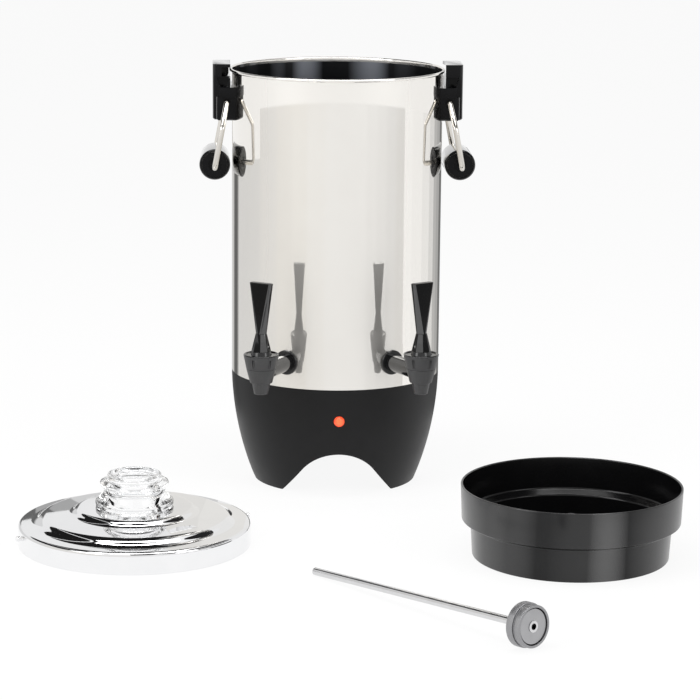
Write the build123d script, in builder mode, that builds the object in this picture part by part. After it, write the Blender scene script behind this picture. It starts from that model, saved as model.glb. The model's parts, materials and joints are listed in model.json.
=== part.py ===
from build123d import *
import os
from math import acos, asin, atan2, cos, degrees, hypot, pi, radians, sin, sqrt

# Coffee urn: a steel tank on a black skirt, with two lever taps, two side brackets that carry
# a folding wire bail each, and a lid, a coffee basket and a pump tube set down beside it.
# Millimetres, +Z up. The origin is on the tank's axis, on the surface that the urn stands on,
# and the front, with the lamp and the taps, faces -Y.

# ---- clearances -----------------------------------------------------------------------------
seat_gap = 0.05        # between faces that rest on each other
press_gap = 0.02       # round a pin or screw that is driven in
run_gap = 0.08         # round a shaft that turns or slides
thread_gap = 0.05      # round a screwed shank
hole_gap = 0.3         # round what only passes through a hole
move_gap = 0.3         # between faces that move past each other

# ---- tank -----------------------------------------------------------------------------------
tank_r = 110.0
shell_t = 0.6
rim_z = 437.0
seam_z = 117.0
bead_r = 1.6           # section radius of the rolled rim
bead_open = 50.0       # degrees of the roll left open below
floor_rise = 8.0       # tank floor above the seam
floor_z = seam_z + floor_rise
floor_t = 0.6
well_r = 24.0          # sump in the middle of the floor, where the pump stands
well_depth = 14.0
tank_in_r = tank_r - shell_t
floor_r = tank_in_r - seat_gap
well_z = floor_z - well_depth
floor_under = floor_z - floor_t

# ---- skirt ----------------------------------------------------------------------------------
skirt_t = 3.0
foot_in = 24.0         # how far the foot stands in from the tank's wall
waist_in = 7.7
foot_r = tank_r - foot_in
waist_r = tank_r - waist_in
waist_z = 52.0
arch_top_r = 45.8      # round top of an arch, which runs down into two straight flanks
arch_centre_z = 0.7
arch_half_w = 57.0     # at the foot of the flanks
foot_count = 3
foot_round = 2.5
lip_h = 5.0
lip_r = floor_r - floor_t - hole_gap / 2
ledge_drop = 9.0       # below the seam: ring inside the skirt that the tank is drawn down on
ledge_z = seam_z - ledge_drop
ledge_t = 3.0
ledge_w = 20.0
ledge_in_r = tank_r - ledge_w
stud_in = 13.0
stud_ring_r = tank_r - stud_in
stud_r = 2.0
stud_turn = 45.0
nut_h = 3.2
nut_r = 4.0
cover_rise = 2.5       # bottom cover above the tops of the arches
cover_z = arch_centre_z + arch_top_r + cover_rise
cover_t = 1.0
cover_rim_h = 5.0
boss_in = 24.0
boss_ring_r = tank_r - boss_in
boss_r = 5.0
boss_h = 14.0
screw_r = 1.6
screw_head_r = 3.4
screw_head_h = 2.0
vent_ring_r = 58.0
vent_r = 3.0
vent_count = 12

# ---- heating --------------------------------------------------------------------------------
element_ring_r = 36.0
element_r = 4.0
warmer_ring_r = 66.0
warmer_r = 3.0
element_gap_angle = 40.0
warmer_gap_angle = 20.0
element_drop = 14.0
terminal_r = 1.5
terminal_len = 6.0
thermostat_r = 8.0
thermostat_h = 9.0
thermostat_ring_r = (element_ring_r + element_r + warmer_ring_r - warmer_r) / 2
shield_r = 60.0
shield_t = 0.8
shield_drop = 37.0
shield_z = floor_z - shield_drop
shield_rim_h = 4.0
shield_stud_r = 2.5
fuse_r = 2.4
fuse_len = 14.0
wire_r = 1.1
wire_bend = 6.0

# ---- power inlet and lamp -------------------------------------------------------------------
inlet_drop = 10.0      # below the heat shield
inlet_z = shield_z - inlet_drop
inlet_w = 30.0
inlet_h = 20.0
inlet_deep = 22.0
inlet_wall = 3.0
inlet_flange = 3.0
inlet_flange_t = 2.5
inlet_pin_r = 2.4
inlet_pin_pitch = 12.7
inlet_pin_out = 13.0
inlet_tail = 5.0
lamp_drop = 4.4
lamp_z = shield_z - lamp_drop
lamp_r = 5.5
lamp_dome = 3.6
lamp_neck_r = 4.0
lamp_neck_len = 6.0
bulb_r = 3.2
bulb_len = 12.0

# ---- taps -----------------------------------------------------------------------------------
tap_angle = 29.4       # each side of the front
tap_out = 55.0         # from the tank's wall to the tap's own axis
tap_reach = tank_r + tap_out
shank_rise = 26.7      # shank's axis above the seam
shank_z = seam_z + shank_rise
shank_r = 8.8
thread_step = 0.8
thread_r = shank_r - thread_step
shank_bore_r = 4.0
thread_in = 15.0       # how far the threaded shank stands inside the tank
washer_w = 4.0
washer_r = shank_r + washer_w
washer_t = 3.0
inner_washer_w = 3.0
inner_washer_r = thread_r + inner_washer_w
inner_washer_t = 1.6
tap_nut_w = 4.0
tap_nut_r = thread_r + tap_nut_w
tap_nut_h = 6.0
spout_drop = 22.1      # mouth of the spout below the shank's axis
spout_h = 11.8
spout_z = shank_z - spout_drop
spout_step_z = spout_z + spout_h
spout_tip_r = 7.1
spout_wall = 2.6
outlet_r = spout_tip_r - spout_wall
cup_low_r = 11.3
cup_h = 14.6
cup_flare = 3.8
cup_r = cup_low_r + cup_flare
spout_step = 1.9
spout_top_r = cup_low_r - spout_step
tap_seam_z = spout_step_z + cup_h
seat_t = 3.0           # floor of the chamber, above the step of the spout
seat_z = spout_step_z + seat_t
cup_wall = 0.7
chamber_r = cup_low_r - cup_wall
bonnet_flare = 2.9
bonnet_r = cup_r + bonnet_flare
bonnet_h = 14.4
bonnet_rim_z = tap_seam_z + bonnet_h
bonnet_lip_w = 2.2       # raised lip round the dished top
bonnet_lip_h = 1.0
bonnet_dish = 0.5
bonnet_dish_z = bonnet_rim_z - bonnet_dish
bonnet_land_h = 3.6
bonnet_top_z = bonnet_rim_z + bonnet_land_h
bonnet_land_r = 9.6
bonnet_plug = 3.4
bonnet_roof_t = 6.4
bonnet_roof_z = bonnet_top_z - bonnet_roof_t
plug_wall = 2.4
bonnet_cavity_r = chamber_r - plug_wall
grip_notches = 6
notch_r = 1.6
notch_in_from_rim = 1.6
notch_at = bonnet_r - notch_in_from_rim
notch_low = 2.4
notch_high = 8.8
seat_cup_room = 3.0    # round the seat cup in its chamber
seat_cup_r = chamber_r - seat_cup_room
seat_cup_h = 5.4
stem_foot = 2.2        # how deep the cup's floor is below the stem
stem_r = 3.5
collar_r = 6.6
collar_h = 1.6
spring_wire_r = 0.6
spring_mid_r = 5.4
spring_turns = 5
lever_pin_h = 4.6      # pin's height above the bonnet
lever_pin_r = 1.5
stem_head = 3.2
lever_slot_top = 1.2   # room over the stem as the lever leans
lever_base_in = 0.35   # edge of the lever's heel inside the bonnet's land
lever_base_w = 2 * (bonnet_land_r - lever_base_in)
lever_neck_w = 10.5
lever_heel_h = 18.0
lever_neck_z = bonnet_top_z + lever_heel_h
lever_waist_half = 5.7 # middle to the front edge of the upper part's pointed foot
lever_waist_flat = 0.8 # half the width of that edge
lever_blade_h = 52.0
lever_top_z = lever_neck_z + lever_blade_h
lever_top_w = 25.0
lever_top_d = 7.5
lever_corner = 2.2
lever_slot_w = 2 * (stem_r + move_gap)
lever_slot_l = 12.6

# ---- brackets, bails and grips --------------------------------------------------------------
lid_over = 3.5         # outside of the lid's rim beyond the tank's wall
lid_skirt_r = tank_r + lid_over
bracket_deep = 20.0    # how far the tower, the body and the ledge stand out from the wall
body_deep = 16.0
shelf_deep = 12.5
bracket_out = tank_r + bracket_deep
body_out = tank_r + body_deep
shelf_out = tank_r + shelf_deep
bracket_rise = 5.5     # top of the bracket above the tank's rim
bracket_h = 57.5
bracket_top_z = rim_z + bracket_rise
bracket_low_z = bracket_top_z - bracket_h
tower_half = 22.0
body_step = 7.0
body_half = tower_half + body_step
ledge_step = 3.0
ledge_half = body_half + ledge_step
body_h = 24.5
shelf_z = bracket_low_z + body_h
shelf_h = 10.0
notch_h = 10.0
notch_top_z = shelf_z + shelf_h + notch_h
notch_deep = 7.0
notch_wall = 2.0
notch_in = tank_r + notch_wall
notch_slope = 3.0
bracket_round = 4.0
bracket_chamfer = 1.5
bracket_sink = 2.0     # how far the blocks start inside the wall before it is cut away
slot_deep = 10.6
slot_out = tank_r + slot_deep
slot_roof_t = 3.4
slot_h = 9.3
slot_low_z = bracket_top_z - slot_roof_t - slot_h
slot_wall = 13.0
pivot_deep = 5.5
pivot_out = tank_r + pivot_deep
pivot_up = 19.0        # above the bracket's underside
pivot_z = bracket_low_z + pivot_up
pin_deep = 7.0
bail_r = 2.9
bail_len = 66.5
bail_neck_out = 4.0    # straight stretch of the wire beside the bracket
bail_neck = body_half + bail_neck_out
bail_spread = 21.5
bail_half = bail_neck + bail_spread
bail_flare = 24.0
bail_bend = 5.0
rest_gap = 1.8         # between a grip and the wall as the bail hangs
grip_r = 16.0
grip_half = 27.0
grip_chamfer = 1.4
grip_dish_r = 6.5
grip_dish = 3.0
rivet_r = 2.0
rivet_head_r = 4.2
rivet_head_h = 1.4
rivet_len = 9.0
rivet_up = 7.0
rivet_pitch = 21.0
rivet_z = (bracket_low_z + rivet_up, bracket_low_z + rivet_up + rivet_pitch)

# ---- lid and knob ---------------------------------------------------------------------------
lid_x = -206.0
lid_y = -259.3
lid_turn = 20.0
lid_t = 0.6
lid_skirt_h = 20.0
lid_round = 2.4
rim_ring_in = 16.5
rim_ring_r = lid_skirt_r - rim_ring_in
rim_ring_rise = 2.2
step_out_run = 7.0
step_out_rise = 6.2
plate_w = 29.0
plate_r = rim_ring_r - step_out_run - plate_w
plate_rise = 3.2
step_in_run = 5.0
step_in_rise = 5.0
crown_rise = 1.0
lid_stud_r = 2.3
lid_stud_len = 6.2
lid_stud_drop = 5.0
vent_out = 14.5
vent_ring = plate_r + vent_out
vent_turn = -72.0
vent_hole_r = 2.1
vent_holes = 5
vent_pitch = 5.2
knob_foot_r = 38.0
knob_foot_h = 5.5
knob_waist_r = 30.0
knob_waist_z = 13.0
knob_ring_r = 33.5
knob_ring_z = 24.0
knob_ring_h = 4.5
knob_top_r = 26.0
knob_taper = 1.0
knob_lip_w = 2.0
knob_h = 32.0
knob_dish = 4.0
knob_hollow_r = 20.0
knob_roof = 4.5
knob_neck_r = 23.0
knob_lug_out = 3.0
knob_lug_w = 9.0
knob_lug_t = 2.4

# ---- basket ---------------------------------------------------------------------------------
basket_x = 215.7
basket_y = -309.7
basket_h = 70.0
basket_t = 2.2
basket_room = 2.4      # between the basket's rim and the tank's wall
basket_rim_r = tank_in_r - basket_room
basket_flare = 1.4
basket_band_r = basket_rim_r - basket_flare
basket_step_w = 8.6
basket_low_r = basket_band_r - basket_step_w
basket_draft = 2.0
basket_foot_r = basket_low_r - basket_draft
basket_step_z = 32.0
basket_step_h = 4.0
basket_floor_t = 2.0
column_r = 7.0
column_h = 40.0
column_boss_r = 9.5
column_boss_h = 9.0
column_boss_slope = 2.0
column_bevel = 1.0
column_stop = 5.0
column_outlet_r = 2.6
strainer_hole_r = 1.5
strainer_first_r = 24.0
strainer_pitch = 22.0
strainer_rings = 3
strainer_spacing = 20.0

# ---- pump -----------------------------------------------------------------------------------
pump_x = -33.5         # free end of the tube
pump_y = -373.5
pump_turn = -51.2      # direction from the free end to the foot, from +X
tube_r = 3.6
tube_t = 0.7
basket_drop = 2.0      # basket's rim below the tank's rim in use
pump_room = 4.0        # round the pump's foot in the sump
pump_base_r = well_r - pump_room
pump_neck_step = 1.0
pump_neck_r = pump_base_r - pump_neck_step
pump_neck_h = 6.0
pump_groove = 1.2
pump_groove_r = pump_neck_r - pump_groove
pump_groove_h = 1.4
pump_rim_h = 7.5
pump_rim_t = 1.5
pump_neck_wall = 2.4
pump_cavity_r = pump_neck_r - pump_neck_wall
pump_cavity = 5.5
pump_boss_r = 6.0
pump_top_h = 1.2
valve_room = 1.0
valve_r = pump_cavity_r - valve_room
valve_t = 1.0
pump_lift = 0.4        # tube's flared end above the foot's rim
pump_port_ring_r = 11.5
pump_port_r = 1.6
pump_ports = 4
flare_r = 5.2
flare_h = 0.8
tube_top_z = rim_z - basket_drop - basket_h + column_h - column_stop
tube_len = tube_top_z - well_z

os.makedirs("parts", exist_ok=True)
SIDES = {"left": -1, "right": 1}


def save(builder, name):
    """Label a finished piece and write it as a STEP file of the same name."""
    builder.part.label = name
    export_step(builder.part, f"parts/{name}.step")


def ring_profile(points):
    """A closed face on the current sketch from its corner points."""
    Polygon(*points, align=Align.NONE)


def block(middle_x, middle_y, low, length, width, height, mode=Mode.ADD):
    """An upright block that stands on a level, by the middle of its foot."""
    with Locations((middle_x, middle_y, low)):
        Box(length, width, height, align=(Align.CENTER, Align.CENTER, Align.MIN), mode=mode)


def upright(x, y, z, angle):
    """An upright plane through a point: x level at an angle from +X, y up."""
    level = Vector(cos(radians(angle)), sin(radians(angle)), 0)
    return Plane(origin=(x, y, z), x_dir=level, z_dir=level.cross(Vector(0, 0, 1)))


def radial_plane(angle, radius, z):
    """A plane that faces outwards at an angle from the front, at a radius and height."""
    out = Vector(sin(radians(angle)), -cos(radians(angle)), 0)
    side = Vector(cos(radians(angle)), sin(radians(angle)), 0)
    return Plane(origin=out * radius + Vector(0, 0, z), x_dir=side, z_dir=out)


def arc_radius(low, middle, high):
    """Radius and centre of the circle through three (r, z) points."""
    ax, ay = middle[0] - low[0], middle[1] - low[1]
    bx, by = high[0] - low[0], high[1] - low[1]
    d = 2 * (ax * by - ay * bx)
    cx = (by * (ax * ax + ay * ay) - ay * (bx * bx + by * by)) / d
    cy = (ax * (bx * bx + by * by) - bx * (ax * ax + ay * ay)) / d
    return hypot(cx, cy), low[0] + cx, low[1] + cy


def skirt_radius(z):
    """Outside radius of the skirt at a height."""
    radius, r0, z0 = arc_radius((foot_r, 0), (waist_r, waist_z), (tank_r, seam_z))
    return r0 + sqrt(radius ** 2 - (z - z0) ** 2)


# ---- tank shell with its rolled rim ---------------------------------------------------------
bead_centre = (tank_in_r + bead_r, rim_z - bead_r)
with BuildPart() as tank_shell:
    with BuildSketch(Plane.XZ):
        with BuildLine():
            Polyline(
                (tank_in_r, seam_z),
                (tank_r, seam_z),
                (tank_r, rim_z - bead_r),
                (tank_in_r, rim_z - bead_r),
                close=True,
            )
        make_face()
        with Locations(bead_centre):
            Circle(bead_r)
            Circle(bead_r - shell_t, mode=Mode.SUBTRACT)
        with BuildLine():
            roll = 2 * bead_r
            low_a = radians(180)
            low_b = radians(180 + bead_open)
            Polyline(
                bead_centre,
                (bead_centre[0] + roll * cos(low_a), bead_centre[1] - 0.001),
                (bead_centre[0] + roll * cos(low_b), bead_centre[1] + roll * sin(low_b)),
                close=True,
            )
        make_face(mode=Mode.SUBTRACT)
        with Locations((tank_in_r + shell_t / 2, rim_z - 2 * bead_r)):
            Rectangle(shell_t, 2 * bead_r)
    revolve(axis=Axis.Z)
    for side in SIDES.values():
        with BuildSketch(radial_plane(side * tap_angle, 0, shank_z)):
            Circle(thread_r + hole_gap)
        extrude(amount=tank_r + bead_r, mode=Mode.SUBTRACT)
        for height in rivet_z:
            with BuildSketch(radial_plane(side * 90, 0, height)):
                Circle(rivet_r + hole_gap / 2)
            extrude(amount=tank_r + bead_r, mode=Mode.SUBTRACT)
save(tank_shell, "tank_shell")

# ---- tank floor with its sump ---------------------------------------------------------------
with BuildPart() as tank_floor:
    with BuildSketch(Plane.XZ):
        ring_profile([
            (floor_r, seam_z),
            (floor_r, floor_z),
            (well_r, floor_z),
            (well_r, well_z),
            (0, well_z),
            (0, well_z - floor_t),
            (well_r + floor_t, well_z - floor_t),
            (well_r + floor_t, floor_under),
            (floor_r - floor_t, floor_under),
            (floor_r - floor_t, seam_z),
        ])
    revolve(axis=Axis.Z)
save(tank_floor, "tank_floor")

# ---- studs under the floor, their nuts, and the stud that carries the heat shield -----------
with BuildPart() as floor_studs:
    with BuildSketch(Plane.XY.offset(floor_under)):
        with PolarLocations(stud_ring_r, foot_count, start_angle=stud_turn):
            Circle(stud_r)
    extrude(amount=-(floor_under - ledge_z + nut_h + stud_r))
save(floor_studs, "floor_studs")

with BuildPart() as floor_nuts:
    with BuildSketch(Plane.XY.offset(ledge_z - seat_gap)):
        with PolarLocations(stud_ring_r, foot_count, start_angle=stud_turn):
            RegularPolygon(nut_r, 6)
            Circle(stud_r + thread_gap, mode=Mode.SUBTRACT)
    extrude(amount=-nut_h)
save(floor_nuts, "floor_nuts")

shield_stud_top = well_z - floor_t
with BuildPart() as shield_stud:
    with BuildSketch(Plane.XY.offset(shield_stud_top)):
        Circle(shield_stud_r)
    extrude(amount=-(shield_stud_top - shield_z + nut_h + shield_stud_r))
    with BuildSketch(Plane.XY.offset(shield_stud_top)):
        Circle(2 * shield_stud_r)
    extrude(amount=-(shield_stud_top - shield_z - shield_t - seat_gap))
save(shield_stud, "shield_stud")

with BuildPart() as shield_nut:
    with BuildSketch(Plane.XY.offset(shield_z - seat_gap)):
        RegularPolygon(nut_r + 1, 6)
        Circle(shield_stud_r + thread_gap, mode=Mode.SUBTRACT)
    extrude(amount=-nut_h)
save(shield_nut, "shield_nut")

# ---- heat shield ----------------------------------------------------------------------------
with BuildPart() as heat_shield:
    with BuildSketch(Plane.XZ):
        ring_profile([
            (shield_stud_r + hole_gap, shield_z),
            (shield_r, shield_z),
            (shield_r + shield_rim_h, shield_z - shield_rim_h),
            (shield_r + shield_rim_h + shield_t, shield_z - shield_rim_h),
            (shield_r + shield_t, shield_z + shield_t),
            (shield_stud_r + hole_gap, shield_z + shield_t),
        ])
    revolve(axis=Axis.Z)
save(heat_shield, "heat_shield")


def heater(ring_r, tube, gap_angle, middle, drop, name):
    """A tube ring under the floor, open by an angle, whose two ends turn down to a terminal."""
    ring_z = floor_under - tube - seat_gap
    start = middle + gap_angle / 2
    with BuildPart() as ring:
        with BuildLine(Plane.XY.offset(ring_z)) as path:
            CenterArc((0, 0), ring_r, start, 360 - gap_angle)
        with BuildSketch(Plane(origin=path.line @ 0, z_dir=path.line % 0)):
            Circle(tube)
        sweep(path=path.line)
        for end in (start, start - gap_angle):
            foot = (ring_r * cos(radians(end)), ring_r * sin(radians(end)))
            with BuildSketch(Plane.XY.offset(ring_z)):
                with Locations(foot):
                    Circle(tube)
            extrude(amount=-drop)
            with BuildSketch(Plane.XY.offset(ring_z - drop)):
                with Locations(foot):
                    Circle(terminal_r)
            extrude(amount=-terminal_len)
    save(ring, name)
    return ring_z - drop - terminal_len / 2


element_terminal_z = heater(
    element_ring_r, element_r, element_gap_angle, 90, element_drop, "heating_element"
)
warmer_terminal_z = heater(
    warmer_ring_r, warmer_r, warmer_gap_angle, -90, element_drop, "keep_warm_element"
)

# ---- thermostat pressed against the floor ---------------------------------------------------
thermostat_top = floor_under - seat_gap
blade_z = thermostat_top - thermostat_h
with BuildPart() as thermostat:
    with BuildSketch(Plane.XY.offset(thermostat_top)):
        with Locations((-thermostat_ring_r, 0)):
            Circle(thermostat_r)
    extrude(amount=-thermostat_h / 2)
    with BuildSketch(Plane.XY.offset(thermostat_top)):
        with Locations((-thermostat_ring_r, 0)):
            Circle(thermostat_r - 1)
    extrude(amount=-thermostat_h)
    with BuildSketch(Plane.XY.offset(blade_z)):
        with Locations((-thermostat_ring_r, thermostat_r / 2), (-thermostat_ring_r, -thermostat_r / 2)):
            Rectangle(3 * terminal_r, terminal_r)
    extrude(amount=-terminal_len)
save(thermostat, "thermostat")

# ---- skirt: one moulding with three arches, the tank's locating lip and the inner ledge -------
with BuildPart() as base_skirt:
    with BuildSketch(Plane.XZ):
        with BuildLine():
            ThreePointArc((foot_r, 0), (waist_r, waist_z), (tank_r, seam_z))
            Polyline(
                (tank_r, seam_z),
                (lip_r, seam_z),
                (lip_r, seam_z + lip_h),
                (tank_r - skirt_t, seam_z + lip_h),
                (tank_r - skirt_t, seam_z),
            )
            ThreePointArc(
                (tank_r - skirt_t, seam_z),
                (waist_r - skirt_t, waist_z),
                (foot_r - skirt_t, 0),
            )
            Line((foot_r - skirt_t, 0), (foot_r, 0))
        make_face()
    revolve(axis=Axis.Z)
    with BuildSketch(Plane.XZ):
        ring_profile([
            (ledge_in_r, ledge_z),
            (skirt_radius(ledge_z) - skirt_t / 2, ledge_z),
            (skirt_radius(ledge_z) - skirt_t / 2, ledge_z + ledge_t),
            (ledge_in_r, ledge_z + ledge_t),
        ])
    revolve(axis=Axis.Z)
    with BuildSketch(Plane.XY.offset(ledge_z)):
        with PolarLocations(stud_ring_r, foot_count, start_angle=stud_turn):
            Circle(stud_r + hole_gap)
    extrude(amount=ledge_t, mode=Mode.SUBTRACT)
    boss_low = cover_z + cover_t + seat_gap
    boss_reach = skirt_radius(boss_low) - skirt_t / 2 - boss_ring_r
    with BuildSketch(Plane.XY.offset(boss_low)):
        with PolarLocations(boss_ring_r, foot_count, start_angle=90 - 360 / foot_count):
            Circle(boss_r)
        with PolarLocations(boss_ring_r + boss_reach / 2, foot_count, start_angle=90 - 360 / foot_count):
            Rectangle(boss_reach, boss_r)
    extrude(amount=boss_h)
    with BuildSketch(Plane.XY.offset(boss_low)):
        with PolarLocations(boss_ring_r, foot_count, start_angle=90 - 360 / foot_count):
            Circle(screw_r + press_gap)
    extrude(amount=boss_h - boss_r / 2, mode=Mode.SUBTRACT)
    flank_turn = acos(arch_top_r / hypot(arch_half_w, arch_centre_z)) - atan2(arch_centre_z, arch_half_w)
    flank_x = arch_top_r * cos(flank_turn)
    flank_z = arch_centre_z + arch_top_r * sin(flank_turn)
    for arch in range(foot_count):
        with BuildSketch(radial_plane(arch * 360 / foot_count, 0, 0)):
            with Locations((0, arch_centre_z)):
                Circle(arch_top_r)
            ring_profile([(-arch_half_w, 0), (arch_half_w, 0), (flank_x, flank_z), (-flank_x, flank_z)])
        extrude(amount=tank_r, mode=Mode.SUBTRACT)
    with BuildSketch(radial_plane(180, 0, inlet_z)):
        Rectangle(inlet_w + hole_gap, inlet_h + hole_gap)
    extrude(amount=tank_r, mode=Mode.SUBTRACT)
    with BuildSketch(radial_plane(0, 0, lamp_z)):
        Circle(lamp_neck_r + hole_gap / 2)
    extrude(amount=tank_r, mode=Mode.SUBTRACT)
    foot_edges = base_skirt.edges().filter_by(
        lambda e: e.geom_type == GeomType.LINE
        and abs(e.center().Z) < 0.01
        and e.length < 2 * skirt_t
    )
    fillet(foot_edges, foot_round)
save(base_skirt, "base_skirt")

# ---- what the skirt fills, for the pieces that sit against its outer face --------------------
with BuildPart() as skirt_envelope:
    with BuildSketch(Plane.XZ):
        with BuildLine():
            ThreePointArc(
                (foot_r + seat_gap, 0),
                (waist_r + seat_gap, waist_z),
                (tank_r + seat_gap, seam_z),
            )
            Polyline((tank_r + seat_gap, seam_z), (0, seam_z), (0, 0), (foot_r + seat_gap, 0))
        make_face()
    revolve(axis=Axis.Z)

# ---- bottom cover and its screws ------------------------------------------------------------
cover_r = skirt_radius(cover_z) - skirt_t - hole_gap
with BuildPart() as bottom_cover:
    with BuildSketch(Plane.XZ):
        ring_profile([
            (0, cover_z),
            (cover_r - cover_t, cover_z),
            (cover_r, cover_z + cover_t),
            (cover_r, cover_z + cover_rim_h),
            (cover_r - cover_t, cover_z + cover_rim_h),
            (cover_r - cover_t, cover_z + cover_t),
            (0, cover_z + cover_t),
        ])
    revolve(axis=Axis.Z)
    with BuildSketch(Plane.XY.offset(cover_z)):
        with PolarLocations(boss_ring_r, foot_count, start_angle=90 - 360 / foot_count):
            Circle(screw_r + hole_gap)
        with PolarLocations(vent_ring_r, vent_count):
            Circle(vent_r)
    extrude(amount=cover_t, mode=Mode.SUBTRACT)
    for foot in range(foot_count):
        with BuildSketch(radial_plane(180 + foot * 360 / foot_count, boss_ring_r, cover_z + cover_t)):
            Rectangle(boss_r + 2 * hole_gap, 2 * cover_rim_h)
        extrude(amount=cover_r, mode=Mode.SUBTRACT)
save(bottom_cover, "bottom_cover")

with BuildPart() as cover_screws:
    with BuildSketch(Plane.XY.offset(cover_z - seat_gap)):
        with PolarLocations(boss_ring_r, foot_count, start_angle=90 - 360 / foot_count):
            Circle(screw_head_r)
    extrude(amount=-screw_head_h)
    with BuildSketch(Plane.XY.offset(cover_z - seat_gap)):
        with PolarLocations(boss_ring_r, foot_count, start_angle=90 - 360 / foot_count):
            Circle(screw_r)
    extrude(amount=boss_h - boss_r / 2 - seat_gap)
save(cover_screws, "cover_screws")

# ---- power inlet at the back, with its two pins ---------------------------------------------
inlet_face = skirt_radius(inlet_z + inlet_h / 2 + inlet_flange) + seat_gap
inlet_floor = inlet_face + inlet_flange_t - inlet_deep
with BuildPart() as power_inlet:
    with BuildSketch(radial_plane(180, waist_r - inlet_flange_t, inlet_z)):
        RectangleRounded(inlet_w + 2 * inlet_flange, inlet_h + 2 * inlet_flange, inlet_wall)
    extrude(amount=inlet_face + 2 * inlet_flange_t - waist_r)
    add(skirt_envelope.part, mode=Mode.SUBTRACT)
    with BuildSketch(radial_plane(180, inlet_floor, inlet_z)):
        RectangleRounded(inlet_w, inlet_h, inlet_wall)
    extrude(amount=inlet_deep)
    with BuildSketch(radial_plane(180, inlet_floor + inlet_wall, inlet_z)):
        RectangleRounded(inlet_w - 2 * inlet_wall, inlet_h - 2 * inlet_wall, inlet_wall / 2)
    extrude(amount=inlet_deep, mode=Mode.SUBTRACT)
    with BuildSketch(radial_plane(180, inlet_floor, inlet_z)):
        with GridLocations(inlet_pin_pitch, 0, 2, 1):
            Circle(inlet_pin_r + press_gap)
    extrude(amount=inlet_wall, mode=Mode.SUBTRACT)
save(power_inlet, "power_inlet")

with BuildPart() as inlet_pins:
    with BuildSketch(radial_plane(180, inlet_floor - inlet_tail, inlet_z)):
        with GridLocations(inlet_pin_pitch, 0, 2, 1):
            Circle(inlet_pin_r)
    extrude(amount=inlet_tail + inlet_wall + inlet_pin_out)
    chamfer(inlet_pins.edges().group_by(Axis.Y)[-1], inlet_pin_r / 4)
save(inlet_pins, "inlet_pins")

# ---- indicator lens and the lamp behind it --------------------------------------------------
lens_seat = skirt_radius(lamp_z + lamp_r) + seat_gap
lens_back = skirt_radius(lamp_z) - skirt_t - 1
lens_view = upright(0, 0, lamp_z, -90)
with BuildPart() as indicator_lens:
    with BuildSketch(lens_view):
        with BuildLine():
            Polyline(
                (lens_seat, lamp_r),
                (lens_seat, lamp_neck_r),
                (lens_back, lamp_neck_r),
                (lens_back, 0),
                (lens_seat + lamp_dome, 0),
            )
            TangentArc((lens_seat + lamp_dome, 0), (lens_seat, lamp_r), tangent=(0, 1))
        make_face()
    revolve(axis=Axis(lens_view.origin, lens_view.x_dir))
save(indicator_lens, "indicator_lens")

with BuildPart() as lamp:
    with BuildSketch(radial_plane(0, lens_back - seat_gap, lamp_z)):
        Circle(bulb_r)
    extrude(amount=-bulb_len)
    fillet(lamp.edges().group_by(Axis.Y)[-1], bulb_r / 2)
save(lamp, "lamp")


# ---- taps -----------------------------------------------------------------------------------
def tap_profile(angle):
    """Upright plane through the tap's axis: x outwards from the tank, y up."""
    out = Vector(sin(radians(angle)), -cos(radians(angle)), 0)
    return Plane(origin=out * tap_reach, x_dir=out, z_dir=out.cross(Vector(0, 0, 1)))


def tap_level(angle, z):
    """Level plane on the tap's axis: x outwards from the tank."""
    out = Vector(sin(radians(angle)), -cos(radians(angle)), 0)
    return Plane(origin=out * tap_reach + Vector(0, 0, z), x_dir=out, z_dir=(0, 0, 1))


def tap_axis(angle):
    """The tap's own upright axis."""
    return Axis(tap_profile(angle).origin, (0, 0, 1))


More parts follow.
